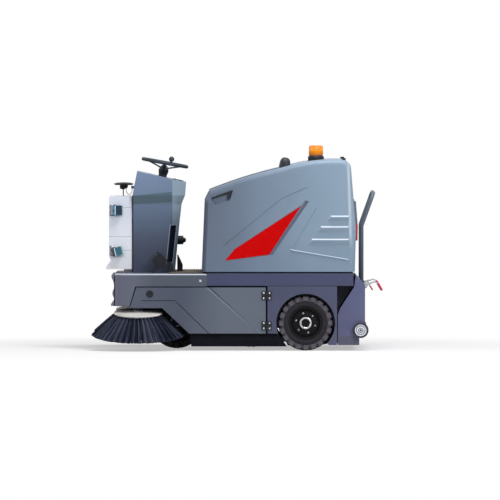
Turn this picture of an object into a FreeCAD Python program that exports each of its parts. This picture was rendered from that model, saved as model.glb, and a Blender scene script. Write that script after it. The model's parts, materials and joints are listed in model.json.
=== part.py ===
"""Ride-on floor sweeper with a driverless kit: steered front wheel, two rear wheels, two side brushes,
a main broom behind side doors, a tilting hood with the seat, and a wheeled debris hopper at the back.

Millimetres. +X is forward, +Y is the machine's left, +Z is up. The ground is Z = 0, and the origin is
on the ground at the middle of the machine's length and width.
"""
import FreeCAD
import Part

import math
import os

V = FreeCAD.Vector
X_AXIS, Y_AXIS, Z_AXIS = V(1, 0, 0), V(0, 1, 0), V(0, 0, 1)
LEFT, RIGHT = 1, -1

# ---- body ----
BODY_HALF_WIDTH = 575.0
PANEL_THICKNESS = 25.0          # side doors and fenders
SILL_BOTTOM = 470.0             # the band between the lower panels and the hood
SILL_TOP = 566.0
SILL_FRONT = 217.0
SILL_REAR = -849.0
SILL_WALL = 45.0
TRAY_THICKNESS = 10.0
PANEL_GAP = 6.0                 # shut line between a moving panel and its neighbour
PANEL_BOTTOM = 125.0
MOVING_GAP = 8.0                # between the hood and what it closes on

# ---- wheels ----
WHEEL_RADIUS = 200.0
WHEEL_WIDTH = 104.0
RIM_RADIUS = 117.0
RIM_WALL = 12.0
REAR_AXLE_X = -502.0
REAR_WHEEL_Y = 512.0
FRONT_AXLE_X = 440.0
AXLE_RADIUS = 20.0
RUNNING_CLEARANCE = 0.08        # radial, at every turning fit
ARCH_GAP = 14.0
ARCH_WALL = 4.0                 # wheel housing behind each fender
ARCH_INNER_Y = 450.0

# ---- chassis ----
RAIL_Y = 428.0                  # centre of each longitudinal rail
RAIL_WIDTH = 36.0
RAIL_TOP = SILL_BOTTOM
RAIL_HEIGHT = 80.0
RAIL_FRONT = 740.0
RAIL_REAR = -760.0

# ---- nose ----
NOSE_FRONT = 893.0
NOSE_TOP = 560.0
NOSE_BOTTOM = 322.0
NOSE_CORNER = 130.0
NOSE_WALL = 18.0
DECK_TOP = NOSE_TOP + 6
BUMPER_REACH = 20.0             # how far the bumper ribs stand ahead of the nose

# ---- steering ----
TOWER_BASE = NOSE_TOP
STEER_TILT = 10.5               # degrees that the wheel's axis leans back
STEER_CENTRE = V(527.0, 0.0, 1361.0)
STEER_RADIUS = 175.0
STEER_RIM_RADIUS = 13.0
HUB_DROP = 52.0                 # underside of the steering wheel's hub, below the rim's plane
DASH_THICKNESS = 3.0
FORK_HEAD_RADIUS = 34.0
FORK_LEG_Y = 70.0
FORK_LEG_THICKNESS = 16.0

# ---- cameras ----
CAMERA_TURN = 25.0              # degrees in plan, from facing straight ahead
CAMERA_HALF_WIDTH = 28.0

# ---- antenna lead ----
LEAD_RADIUS = 2.0
LEAD_START = V(812.0, 0.0, 1172.0)
LEAD_END = V(768.0, 0.0, 1172.0)

# ---- hood and seat ----
HOOD_BOTTOM = SILL_TOP + MOVING_GAP
HOOD_FRONT = 255.0
HOOD_REAR = -860.0
HOOD_WALL = 14.0
HOOD_EDGE_RADIUS = 34.0
SEAT_HALF_WIDTH = 270.0
SEAT_FLOOR = 925.0
SEAT_LEAN = 8.0                 # degrees that the backrest leans back
SEAT_BACK_FOOT = V(-258.0, 0.0, 1031.0)
SEAT_BACK_THICKNESS = 84.0
HINGE_Y = -BODY_HALF_WIDTH - 9.0   # the hood tips over to the right about this line
HINGE_Z = SILL_TOP + MOVING_GAP / 2
HINGE_PIN_RADIUS = 4.0
HINGE_BARREL_RADIUS = 8.0

# ---- side brushes ----
BRUSH_X = 718.0
BRUSH_Y = 490.0
BRUSH_TILT = 8.0                # degrees down towards the outside
BRUSH_TIP_RADIUS = 347.0
BRUSH_DISC_RADIUS = 179.0
BRUSH_DISC_Z = 262.0            # underside of the disc at its centre
BRUSH_DISC_THICKNESS = 26.0
BRUSH_TIP_DROP = 172.0          # how far the bristle tips hang below the disc
BRUSH_ARM_PIVOT = V(430.0, 0.0, 345.0)
ARM_PIN_RADIUS = 9.0
MOTOR_RADIUS = 36.0

# ---- side doors ----
DOOR_HINGE_X = -218.0
DOOR_HINGE_Y = BODY_HALF_WIDTH + 9.0
DOOR_HINGE_Z = (181.0, 400.0)
DOOR_LEAF = 30.0
DOOR_LEAF_HALF_HEIGHT = 31.0

# ---- main broom ----
BROOM_X = -105.0
BROOM_Z = 165.0
BROOM_RADIUS = 150.0
BROOM_HALF_LENGTH = 385.0
BROOM_CORE_RADIUS = 62.0

# ---- hopper ----
HOPPER_FRONT = -732.0
HOPPER_REAR = -934.0
HOPPER_TUB_FRONT = -330.0
HOPPER_TUB_HALF_WIDTH = 392.0
HOPPER_TUB_TOP = 372.0
HOPPER_WALL = 8.0
RUNNER_Z = HOPPER_TUB_TOP - 4   # top of the ledges that carry the hopper's runners
RUNNER_GAP = 0.3
HOPPER_WHEEL = V(-902.0, 0.0, 150.0)
HOPPER_WHEEL_RADIUS = 57.0
HOPPER_WHEEL_WIDTH = 32.0
HANDLE_RADIUS = 14.0
HANDLE_Y = 330.0


# ---------------------------------------------------------------- shape helpers
def block(x0, x1, y0, y1, z0, z1):
    """Box between two values on each axis, given in any order."""
    low = V(min(x0, x1), min(y0, y1), min(z0, z1))
    return Part.makeBox(abs(x1 - x0), abs(y1 - y0), abs(z1 - z0), low)


def outline(points):
    """Closed wire through the points. A point given as (middle, end) is the arc through both."""
    edges, here = [], V(*points[0])
    for point in points[1:] + points[:1]:
        if isinstance(point[0], tuple):
            middle, end = V(*point[0]), V(*point[1])
            edges.append(Part.Arc(here, middle, end).toShape())
            here = end
        elif (V(*point) - here).Length > 1e-6:
            edges.append(Part.makeLine(here, V(*point)))
            here = V(*point)
    return Part.Wire(edges)


def _placed(points, place):
    """The 2-D points of an outline as 3-D points."""
    return [tuple(place(*p) for p in q) if isinstance(q[0], tuple) else place(*q) for q in points]


def side_prism(points, y0, y1):
    """Prism of a side outline of (x, z) points from y0 to y1."""
    low, high = min(y0, y1), max(y0, y1)
    wire = outline(_placed(points, lambda x, z: (x, low, z)))
    return Part.Face(wire).extrude(V(0, high - low, 0))


def plan_prism(points, z0, z1):
    """Prism of a plan outline of (x, y) points from z0 to z1."""
    wire = outline(_placed(points, lambda x, y: (x, y, z0)))
    return Part.Face(wire).extrude(V(0, 0, z1 - z0))


def cylinder(centre, axis, radius, length):
    """Cylinder that starts at centre and runs along axis."""
    return Part.makeCylinder(radius, length, centre, axis)


def centred_cylinder(centre, axis, radius, length):
    """Cylinder whose middle is at centre."""
    unit = V(axis).normalize()
    return Part.makeCylinder(radius, length, centre - unit * (length / 2), unit)


def ring(centre, axis, outer, inner, length):
    """Tube whose middle is at centre."""
    hole = centred_cylinder(centre, axis, inner, length + 2)
    return centred_cylinder(centre, axis, outer, length).cut(hole)


def turned(profile, centre, axis):
    """Solid of revolution. The profile is (radius, height) points, and height runs along axis."""
    wire = Part.makePolygon([V(r, 0, h) for r, h in profile + profile[:1]])
    solid = Part.Face(wire).revolve(V(0, 0, 0), Z_AXIS, 360)
    solid = Part.Solid(solid.Shells[0]) if solid.Solids == [] else solid
    rotation = FreeCAD.Rotation(Z_AXIS, V(axis))
    solid.Placement = FreeCAD.Placement(centre, rotation)
    return solid


def swept_tube(points, radius, bend=None):
    """Round bar along straight runs joined by tangent bends. With no bend radius given, each bend is as
    large as its two runs leave room for."""
    edges, start = [], points[0]
    for before, corner, after in zip(points, points[1:], points[2:]):
        into, out = (corner - before).normalize(), (after - corner).normalize()
        turn = into.getAngle(out)
        trim = 0.45 * min((corner - before).Length, (after - corner).Length)
        if bend:
            trim = bend * math.tan(turn / 2)
        first, last = corner - into * trim, corner + out * trim
        turn_radius = trim / math.tan(turn / 2)
        bisector = (out - into).normalize()
        centre = corner + bisector * (turn_radius / math.cos(turn / 2))
        edges.append(Part.makeLine(start, first))
        edges.append(Part.Arc(first, centre - bisector * turn_radius, last).toShape())
        start = last
        if not bend:
            print("bend radius", round(turn_radius, 1))
    edges.append(Part.makeLine(start, points[-1]))
    path = Part.Wire(edges)
    direction = (points[1] - points[0]).normalize()
    section = Part.Wire(Part.makeCircle(radius, points[0], direction))
    return path.makePipeShell([section], True, False)


def mirrored(shape):
    """The same shape on the machine's other side."""
    return shape.mirror(V(0, 0, 0), Y_AXIS)


def both_sides(left_shape):
    """A compound of the left shape and its mirror image."""
    return Part.makeCompound([left_shape, mirrored(left_shape)])


def on_side(left_shape, side):
    return left_shape if side == LEFT else mirrored(left_shape)


def joined(first, *others):
    """One solid from pieces that touch, with the seams between them cleaned away."""
    return first.fuse(list(others)).removeSplitter()


def filleted(shape, radius, chosen):
    """The shape with a round of that radius on each edge that chosen(edge) picks."""
    edges = [e for e in shape.Edges if chosen(e)]
    return shape.makeFillet(radius, edges)


def polygon_loft(sections):
    """Solid through closed polygons, each a list of 3-D points, with flat or ruled sides."""
    wires = [Part.makePolygon([V(*p) for p in s] + [V(*s[0])]) for s in sections]
    solid = Part.makeLoft(wires, True, True)
    return solid if solid.Volume > 0 else solid.reversed()


# ---------------------------------------------------------------- chassis
def sill_frame():
    """Band that carries the hood, with the battery tray across it."""
    outer = block(SILL_FRONT, SILL_REAR, -BODY_HALF_WIDTH, BODY_HALF_WIDTH, SILL_BOTTOM, SILL_TOP)
    inner = block(SILL_FRONT - SILL_WALL, SILL_REAR + SILL_WALL,
                  -BODY_HALF_WIDTH + SILL_WALL, BODY_HALF_WIDTH - SILL_WALL,
                  SILL_BOTTOM + TRAY_THICKNESS, SILL_TOP + 1)
    return outer.cut(inner)


def chassis_frame():
    """Two longitudinal rails with everything welded to them: crossmembers, the steering head, the stub axle
    plates, the rear gussets and the side brush brackets."""
    rail_inner = RAIL_Y - RAIL_WIDTH / 2
    rail = block(RAIL_FRONT, RAIL_REAR, rail_inner, RAIL_Y + RAIL_WIDTH / 2, RAIL_TOP - RAIL_HEIGHT, RAIL_TOP)
    gusset = side_prism([(RAIL_REAR + 40, 312), (-744, 312), (-846, 466), (-846, RAIL_TOP),
                         (RAIL_REAR + 40, RAIL_TOP)], rail_inner, RAIL_Y + RAIL_WIDTH / 2)
    rail_low = RAIL_TOP - RAIL_HEIGHT
    axle_plate = side_prism([(REAR_AXLE_X - 70, rail_low), (REAR_AXLE_X - 35, WHEEL_RADIUS - 35),
                             (REAR_AXLE_X + 35, WHEEL_RADIUS - 35), (REAR_AXLE_X + 70, rail_low)],
                            RAIL_Y - RAIL_WIDTH / 2, RAIL_Y + RAIL_WIDTH / 2)
    stub = cylinder(V(REAR_AXLE_X, RAIL_Y, WHEEL_RADIUS), Y_AXIS, AXLE_RADIUS,
                    REAR_WHEEL_Y + WHEEL_WIDTH / 2 - RAIL_Y - 14)
    crossmembers = [block(x - 25, x + 25, -rail_inner, rail_inner, RAIL_TOP - 50, RAIL_TOP)
                    for x in (RAIL_FRONT - 40, 130.0)]
    head = ring(V(FRONT_AXLE_X, 0, RAIL_TOP - 20), Z_AXIS, FORK_HEAD_RADIUS + 14,
                FORK_HEAD_RADIUS / 2 + RUNNING_CLEARANCE, 60)
    bearer = block(FRONT_AXLE_X - 40, FRONT_AXLE_X + 40, -rail_inner, rail_inner, RAIL_TOP - 40, RAIL_TOP)
    bore = centred_cylinder(V(FRONT_AXLE_X, 0, RAIL_TOP), Z_AXIS,
                            FORK_HEAD_RADIUS / 2 + RUNNING_CLEARANCE, 400)
    left = joined(rail, gusset, axle_plate, stub, arm_bracket(), hopper_ledge())
    return joined(left, mirrored(left), *crossmembers, head, bearer).cut(bore)


def hopper_ledge():
    """Angle under the left rail that carries the hopper's runner."""
    rail_inner = RAIL_Y - RAIL_WIDTH / 2
    upright = block(RAIL_REAR + 25, -600, rail_inner, rail_inner + 6, RUNNER_Z - 6, RAIL_TOP - RAIL_HEIGHT)
    shelf = block(RAIL_REAR + 25, -600, rail_inner - 12, rail_inner + 6, RUNNER_Z - 6, RUNNER_Z)
    return joined(upright, shelf)


def nose_plan(inset, rear):
    """Plan outline of the nose, with round front corners."""
    half, front, corner = BODY_HALF_WIDTH - inset, NOSE_FRONT - inset, NOSE_CORNER - inset
    chord = corner * (1 - math.sqrt(0.5))
    return [(rear, -half), (front - corner, -half),
            ((front - chord, -half + chord), (front, -half + corner)),
            (front, half - corner),
            ((front - chord, half - chord), (front - corner, half)),
            (rear, half)]


def front_shell():
    """Nose and the strips along the platform: one moulding, open below and behind."""
    outer = plan_prism(nose_plan(0, SILL_FRONT), NOSE_BOTTOM, NOSE_TOP)
    hollow = plan_prism(nose_plan(NOSE_WALL, SILL_FRONT - 10), NOSE_BOTTOM - 1, NOSE_TOP - NOSE_WALL)
    door_room = side_prism([(776 + PANEL_GAP, NOSE_BOTTOM - 5), (731 + PANEL_GAP, 461 + PANEL_GAP),
                            (SILL_FRONT - 1, 461 + PANEL_GAP), (SILL_FRONT - 1, NOSE_BOTTOM - 5)], -600, 600)
    shell = outer.cut(door_room)
    shell = filleted(shell, 16, lambda e: (abs(e.BoundBox.ZMin - NOSE_TOP) < 0.1
                                           and e.BoundBox.XMax > SILL_FRONT + 1))
    return shell.cut(hollow)


def bumper():
    """Front bumper plate with three rounded ribs, which taper in at their ends."""
    half = BODY_HALF_WIDTH - NOSE_CORNER + 40
    profile = [(NOSE_FRONT + 0.5, NOSE_BOTTOM), (NOSE_FRONT + 24, NOSE_BOTTOM), (NOSE_FRONT + 24, 337),
               ((NOSE_FRONT + 3, 362), (NOSE_FRONT + 3, 385)),
               ((NOSE_FRONT + 13, 412), (NOSE_FRONT + 3, 445)),
               ((NOSE_FRONT + 1.5, 480), (NOSE_FRONT + 10, 510)),
               (NOSE_FRONT + 20, 530), (NOSE_FRONT + 20, 546), (NOSE_FRONT + 0.5, 546)]
    bar = side_prism(profile, -half, half)
    front = NOSE_FRONT + 24
    ends = plan_prism([(NOSE_FRONT, -half), (front, -half + 70), (front, half - 70), (NOSE_FRONT, half),
                       (NOSE_FRONT - 40, half), (NOSE_FRONT - 40, -half)], NOSE_BOTTOM - 1, NOSE_TOP)
    nose = plan_prism(nose_plan(-0.3, SILL_FRONT), NOSE_BOTTOM - 2, NOSE_TOP + 1)
    return bar.common(ends).cut(nose)


def platform_deck():
    """Foot plate between the hood and the steering tower, cut round the tower's foot."""
    half = BODY_HALF_WIDTH - 16
    plate = block(SILL_FRONT + 2, 505, -half, half, NOSE_TOP, DECK_TOP)
    return plate.cut(tower_body(-2, NOSE_TOP - 5))


def fender(side):
    """Rear side panel with the wheel arch, on the left; the right one is its mirror image."""
    front, rear = DOOR_HINGE_X - PANEL_GAP, HOPPER_FRONT + 2
    panel = side_prism([(front, SILL_BOTTOM - 1), (front, PANEL_BOTTOM), (rear + 1, PANEL_BOTTOM),
                        (rear, PANEL_BOTTOM), (rear, SILL_BOTTOM - 1)],
                       BODY_HALF_WIDTH - PANEL_THICKNESS, BODY_HALF_WIDTH)
    toe = side_prism([(rear, PANEL_BOTTOM), (rear, 41), (-668, 41), (-640, PANEL_BOTTOM)],
                     BODY_HALF_WIDTH - PANEL_THICKNESS, BODY_HALF_WIDTH)
    arch = cylinder(V(REAR_AXLE_X, 0, WHEEL_RADIUS), Y_AXIS, WHEEL_RADIUS + ARCH_GAP, 700)
    web = block(front - 30, front, RAIL_Y + RAIL_WIDTH / 2, BODY_HALF_WIDTH - PANEL_THICKNESS,
                RAIL_TOP - RAIL_HEIGHT, SILL_BOTTOM - 1)
    return on_side(joined(joined(panel, toe).cut(arch), web, wheel_housing()), side)


def wheel_housing():
    """Arched wall over the left rear tyre and the plate behind the tyre, above the skirt."""
    axle, outer = V(REAR_AXLE_X, 0, WHEEL_RADIUS), WHEEL_RADIUS + ARCH_GAP + ARCH_WALL
    panel_inner = BODY_HALF_WIDTH - PANEL_THICKNESS
    wall = ring(axle + Y_AXIS * ((ARCH_INNER_Y + panel_inner) / 2), Y_AXIS, outer, outer - ARCH_WALL,
                panel_inner - ARCH_INNER_Y)
    plate = ring(axle + Y_AXIS * (ARCH_INNER_Y + ARCH_WALL / 2), Y_AXIS, outer, 120, ARCH_WALL)
    above = block(REAR_AXLE_X - 300, REAR_AXLE_X + 300, 400, 600, PANEL_BOTTOM + 36, SILL_BOTTOM - 1)
    return joined(wall, plate).common(above)


def skirts():
    """Rubber skirts under the side doors, hung from brackets on the rails."""
    sheet = side_prism([(346, PANEL_BOTTOM + 30), (330, 30), (-365, 30), (-283, PANEL_BOTTOM + 30)], 534, 542)
    bracket = block(-60, 40, RAIL_Y + RAIL_WIDTH / 2, 534, RAIL_TOP - RAIL_HEIGHT, RAIL_TOP - RAIL_HEIGHT + 8)
    hanger = block(-60, 40, 526, 534, PANEL_BOTTOM, RAIL_TOP - RAIL_HEIGHT + 8)
    return both_sides(joined(sheet, bracket, hanger))


def battery():
    return block(-380, 120, -330, 330, SILL_BOTTOM + TRAY_THICKNESS, 800)


def broom_housing():
    """Arched cover over the main broom, with end plates that carry the shaft."""
    outer = cylinder(V(BROOM_X, -BROOM_HALF_LENGTH - 16, BROOM_Z), Y_AXIS, BROOM_RADIUS + 26,
                     2 * BROOM_HALF_LENGTH + 32)
    inner = cylinder(V(BROOM_X, -BROOM_HALF_LENGTH - 8, BROOM_Z), Y_AXIS, BROOM_RADIUS + 18,
                     2 * BROOM_HALF_LENGTH + 16)
    below = block(BROOM_X - 300, BROOM_X + 300, -500, 500, -50, BROOM_Z - 40)
    mouth = block(BROOM_X - 300, BROOM_X - 60, -BROOM_HALF_LENGTH, BROOM_HALF_LENGTH, 0, BROOM_Z + 70)
    shaft_bore = centred_cylinder(V(BROOM_X, 0, BROOM_Z), Y_AXIS, 18 + RUNNING_CLEARANCE, 1000)
    strap = [block(BROOM_X - 30, BROOM_X + 30, y - 20, y + 20, BROOM_Z + BROOM_RADIUS + 18, SILL_BOTTOM)
             for y in (-300.0, 300.0)]
    cover = outer.cut(inner).cut(below).cut(mouth)
    return cover.fuse(strap).cut(inner).cut(shaft_bore).removeSplitter()


def main_broom():
    """Roller of bristles on its shaft."""
    brush = centred_cylinder(V(BROOM_X, 0, BROOM_Z), Y_AXIS, BROOM_RADIUS, 2 * BROOM_HALF_LENGTH)
    shaft = centred_cylinder(V(BROOM_X, 0, BROOM_Z), Y_AXIS, 18, 2 * BROOM_HALF_LENGTH + 32)
    return joined(brush, shaft)


# ---------------------------------------------------------------- wheels
def tyre_profile():
    half = WHEEL_WIDTH / 2
    return [(RIM_RADIUS, -half + 8), (RIM_RADIUS + 18, -half), (WHEEL_RADIUS - 26, -half),
            (WHEEL_RADIUS - 8, -half + 6), (WHEEL_RADIUS, -half + 16), (WHEEL_RADIUS, half - 16),
            (WHEEL_RADIUS - 8, half - 6), (WHEEL_RADIUS - 26, half), (RIM_RADIUS + 18, half),
            (RIM_RADIUS, half - 8)]


def tyre(centre):
    return turned(tyre_profile(), centre, Y_AXIS)


def wheel_rim(centre, outward):
    """Dished steel rim with a hub that runs on the axle. outward is 1 or -1, the way the dish faces."""
    half = WHEEL_WIDTH / 2
    bore = AXLE_RADIUS + RUNNING_CLEARANCE
    profile = [(bore, -22), (bore, half - 10), (44, half - 10), (50, 18), (RIM_RADIUS - RIM_WALL - 4, 10),
               (RIM_RADIUS - RIM_WALL, half - 8), (RIM_RADIUS, half - 8), (RIM_RADIUS, -half + 8),
               (RIM_RADIUS - RIM_WALL, -half + 8), (RIM_RADIUS - RIM_WALL - 4, -2), (50, -6), (46, -22)]
    return turned(profile, centre, Y_AXIS * outward)


def front_fork():
    """Swivelling fork: steering stem, crown, two legs and the axle."""
    stem = cylinder(V(FRONT_AXLE_X, 0, 410), Z_AXIS, FORK_HEAD_RADIUS / 2, RAIL_TOP + 14 - 410)
    crown = block(FRONT_AXLE_X - 45, FRONT_AXLE_X + 45, -FORK_LEG_Y - FORK_LEG_THICKNESS / 2,
                  FORK_LEG_Y + FORK_LEG_THICKNESS / 2, 406, 418)
    leg = side_prism([(FRONT_AXLE_X - 45, 418), (FRONT_AXLE_X - 30, WHEEL_RADIUS - 30),
                      (FRONT_AXLE_X + 30, WHEEL_RADIUS - 30), (FRONT_AXLE_X + 45, 418)],
                     FORK_LEG_Y - FORK_LEG_THICKNESS / 2, FORK_LEG_Y + FORK_LEG_THICKNESS / 2)
    axle = centred_cylinder(V(FRONT_AXLE_X, 0, WHEEL_RADIUS), Y_AXIS, AXLE_RADIUS, 2 * FORK_LEG_Y + 40)
    return joined(stem, crown, leg, mirrored(leg), axle)


# ---------------------------------------------------------------- steering tower
def tower_section(z, front, crease, rear, side, chamfer, inset=0.0):
    """Plan section of the tower: flat front and sides, chamfered rear corners."""
    side, chamfer = side - inset, chamfer - inset * 0.6
    front, rear = front - inset, rear + inset
    return [(front, -side, z), (crease, -side, z), (rear, -chamfer, z),
            (rear, chamfer, z), (crease, side, z), (front, side, z)]


def tower_body(inset, base):
    """The tower's body, drawn in by inset."""
    levels = [(base, 765, 508, 455, 228, 186), (915, 764, 480, 422, 228, 176),
              (1058, 763, 470, 406, 232, 172),
              (1124, 763, 470, 380, 250, 184), (1330, 723, 478, 365, 250, 176)]
    return polygon_loft([tower_section(*level, inset=inset) for level in levels])


def steering_tower():
    """Hollow dash tower with a sloping top, a pocket in each rear corner and an open base."""
    outer = tower_body(0, TOWER_BASE + 0.2)
    slope = side_prism([(729 + 60, 1301 + 13.4), (372 - 60, 1221 - 13.4), (312, 1450), (789, 1450)],
                       -400, 400)
    outer = outer.cut(slope)
    cap = side_prism([(729 + 60, 1301 + 1.4), (372 - 60, 1221 - 25.4), (312, 1450), (789, 1450)], -400, 400)
    inner = tower_body(12, TOWER_BASE - 6).cut(cap)
    slot_face = side_prism([(478, 906), (442, 906), (470, 636), (504, 636)], 100, 330)
    rear_core = tower_body(10, TOWER_BASE - 6)
    pocket = slot_face.cut(rear_core)
    shell = outer.cut(inner).cut([pocket, mirrored(pocket)])
    return joined(shell, lead_gland().cut(inner))


def instrument_panel():
    """Display and switch panel on the tower's sloping top."""
    slope = (1301 - 1221) / (729 - 372)
    low, high = 1221.3 + (392 - 372) * slope, 1221.3 + (470 - 372) * slope
    return side_prism([(470, high), (392, low), (392, low + DASH_THICKNESS), (470, high + DASH_THICKNESS)],
                      -150, 150)


def steer_axis():
    """Unit vector up the steering column."""
    return V(-math.sin(math.radians(STEER_TILT)), 0, math.cos(math.radians(STEER_TILT)))


def steering_column():
    """Column from the tower's top to just under the wheel's hub, with a collar at the foot."""
    axis = steer_axis()
    foot = STEER_CENTRE - axis * 112
    top = STEER_CENTRE - axis * (HUB_DROP + 0.5)
    tall = (top - foot).Length
    post = turned([(0, 0), (33, 0), (30, tall * 0.4), (36, tall * 0.75), (38, tall), (0, tall)], foot, axis)
    spindle = cylinder(top, axis, 9, 26)
    below = side_prism([(729, 1301.3), (372, 1221.3), (372, 1100), (729, 1100)], -200, 200)
    return joined(post, spindle).cut(below)


def steering_wheel():
    """Rim, three dished spokes and a hub bored for the column's spindle."""
    axis = steer_axis()
    hub_low = STEER_CENTRE - axis * HUB_DROP
    rim = Part.makeTorus(STEER_RADIUS - STEER_RIM_RADIUS, STEER_RIM_RADIUS, STEER_CENTRE, axis)
    hub_bore = 9 + RUNNING_CLEARANCE
    hub = turned([(hub_bore, 0), (34, 0), (34, 16), (24, 26), (hub_bore, 26)], hub_low, axis)
    cap = turned([(0, 26), (24, 26), (20, 32), (0, 34)], hub_low, axis)
    spokes = []
    for degrees in (90, 210, 330):
        start, end = V(24, 0, 13 - HUB_DROP), V(STEER_RADIUS - STEER_RIM_RADIUS, 0, 0)
        spoke = Part.makeBox((end - start).Length, 26, 8, V(0, -13, -4))
        lean = math.degrees(math.atan2(end.z - start.z, end.x - start.x))
        spoke.Placement = FreeCAD.Placement(start, FreeCAD.Rotation(Y_AXIS, -lean))
        turn = FreeCAD.Placement(V(0, 0, 0), FreeCAD.Rotation(Z_AXIS, degrees))
        spoke.Placement = turn.multiply(spoke.Placement)
        seat = FreeCAD.Placement(STEER_CENTRE, FreeCAD.Rotation(Z_AXIS, axis))
        spoke.Placement = seat.multiply(spoke.Placement)
        spokes.append(spoke)
    bore = cylinder(hub_low - axis * 2, axis, 9 + RUNNING_CLEARANCE, 28)
    return joined(rim, hub, cap, spinner_knob(), *spokes).cut(bore)


def spinner_knob():
    """Ball grip on the steering wheel's rim."""
    axis = steer_axis()
    across = V(math.cos(math.radians(STEER_TILT)), 0, math.sin(math.radians(STEER_TILT)))
    foot = STEER_CENTRE - across * 44 + Y_AXIS * math.sqrt((STEER_RADIUS - STEER_RIM_RADIUS) ** 2 - 44 ** 2)
    stem = cylinder(foot, axis, 8, STEER_RIM_RADIUS + 20)
    ball = Part.makeSphere(20, foot + axis * (STEER_RIM_RADIUS + 24))
    return joined(stem, ball)


def accelerator_pedal():
    """Sloping pedal on a wedge, to the right behind the tower."""
    foot = DECK_TOP + 0.2
    return side_prism([(438, 682), (432, 686), (398, 612), (398, foot), (438, foot)], -150, -60)


def brake_pedal():
    """Pedal to the left of the tower: a diamond cheek, an arm and a foot on the platform."""
    pad = block(-42, 42, 262, 322, -42, 42)
    pad.Placement = FreeCAD.Placement(V(563, 0, 649), FreeCAD.Rotation(Y_AXIS, 45))
    arm = side_prism([(590, 708), (580, 715), (497, 640), (505, 632)], 272, 286)
    foot = side_prism([(505, 640), (478, 640), (455, DECK_TOP + 0.2), (500, DECK_TOP + 0.2)], 262, 300)
    return joined(pad, arm, foot)


def charge_socket():
    """Round charging inlet on the tower's rear face, with a domed cap."""
    body = turned([(0, 0), (32, 0), (32, 38), (28, 44), (0, 44)], V(435.6, 0, 794), V(-1, 0, 0))
    face = side_prism([(454.7, 560), (421.7, 915), (600, 915), (600, 560)], -100, 100)
    dome = Part.makeSphere(19, V(391, 0, 794))
    return joined(body, dome).cut(face)


# ---------------------------------------------------------------- driverless kit
def sensor_housing():
    """White box ahead of the tower: one moulding with a stepped front and a skirt at the foot."""
    half = 222.0
    profile = [(765.3, 585), (956, 585), (956, 603), (920, 651), (934, 680), (934, 1112), (928, 1119),
               (765.3, 1119)]
    box = side_prism(profile, -half, half)
    inner = side_prism([(776, 584), (944, 584), (922, 622), (908, 660), (922, 690), (922, 1107), (776, 1107)],
                       -half + 10, half - 10)
    foot = block(766, 826, -170, 170, NOSE_TOP + 0.2, 585)
    upper = side_prism([(940, 975), (884, 975), (884, 1056), (940, 1056)], half - 40, half + 1)
    lower = side_prism([(940, 688), (884, 678), (868, 742), (940, 762)], half - 40, half + 1)
    notches = [upper, mirrored(upper), lower, mirrored(lower), camera_blocks(0.3)]
    return joined(box.cut(inner), foot).cut(notches)


def camera_block(height, centre, pitch, grow):
    """Camera block in its corner of the housing, on the left, turned to face out and a little forward."""
    half, half_height = CAMERA_HALF_WIDTH + grow, height / 2 + grow
    body = block(-half, half, -half, half, -half_height, half_height)
    turn = FreeCAD.Rotation(Y_AXIS, pitch).multiply(FreeCAD.Rotation(Z_AXIS, CAMERA_TURN))
    body.Placement = FreeCAD.Placement(centre, turn)
    return body


def camera_blocks(grow=0.0):
    """An upper camera that looks level and a lower one that looks down, at each front corner."""
    return both_sides(Part.makeCompound([camera_block(70, V(876, 232, 1016), 0, grow),
                                         camera_block(60, V(878, 232, 715), 14, grow)]))


def antenna_mast():
    """Bracket and rod under the satellite antenna, with the gland that the lead leaves from."""
    rod = cylinder(V(833, 0, 1119.2), Z_AXIS, 4, 60)
    bracket = side_prism([(858, 1198), (798, 1198), (800, 1180), (832, 1164), (858, 1172)], -20, 20)
    gland = cylinder(LEAD_START, Z_AXIS, LEAD_RADIUS + 2.5, 15)
    return joined(rod, bracket, gland)


def lead_gland():
    """Elbow on the tower's front that the antenna lead goes up into."""
    return block(LEAD_END.x - 14, LEAD_END.x + 7, -7, 7, LEAD_END.z, LEAD_END.z + 20)


def antenna_lead():
    """Thin lead that hangs in a loop between the antenna's bracket and the tower."""
    route = [LEAD_START, V(812, 0, 1149), V(797, 0, 1129), V(783, 0, 1128), V(768, 0, 1149), LEAD_END]
    return swept_tube(route, LEAD_RADIUS)


def antenna_disc():
    """Lens-shaped satellite antenna."""
    return turned([(0, 0), (62, 0), (72, 7), (72, 10), (50, 18), (0, 21)], V(830, 0, 1198), Z_AXIS)


# ---------------------------------------------------------------- hood
def hood_profile(inset=0.0):
    """Side outline of the hood as (x, z) points, drawn in by inset."""
    i = inset
    return [(HOOD_FRONT - i, HOOD_BOTTOM), (233 - i, 1102 - i / 3), (201 - i * 0.8, 1164 - i * 0.9),
            ((-60, 1258 - i), (-330, 1330 - i)),
            ((-540, 1377 - i), (-700, 1389 - i)),
            (-772, 1388 - i), ((-813 + i * 0.7, 1370 - i * 0.7), (-832 + i, 1329)),
            (-869 + i, 880), (HOOD_REAR + i, HOOD_BOTTOM)]


def seat_recess(grow=0.0):
    """Space cut in the hood for the driver and the seat. Its rear wall has the backrest's lean."""
    lean = math.radians(SEAT_LEAN)
    behind = SEAT_BACK_FOOT.x - (SEAT_BACK_THICKNESS + 0.3 + grow) / math.cos(lean)

    def wall_x(z):
        return behind - (z - SEAT_BACK_FOOT.z) * math.tan(lean)
    floor, top = SEAT_FLOOR - grow, 1450.0
    ahead = HOOD_FRONT + 30
    return side_prism([(ahead, floor), (wall_x(floor), floor), (wall_x(top), top), (ahead, top)],
                      -SEAT_HALF_WIDTH - grow, SEAT_HALF_WIDTH + grow)


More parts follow.
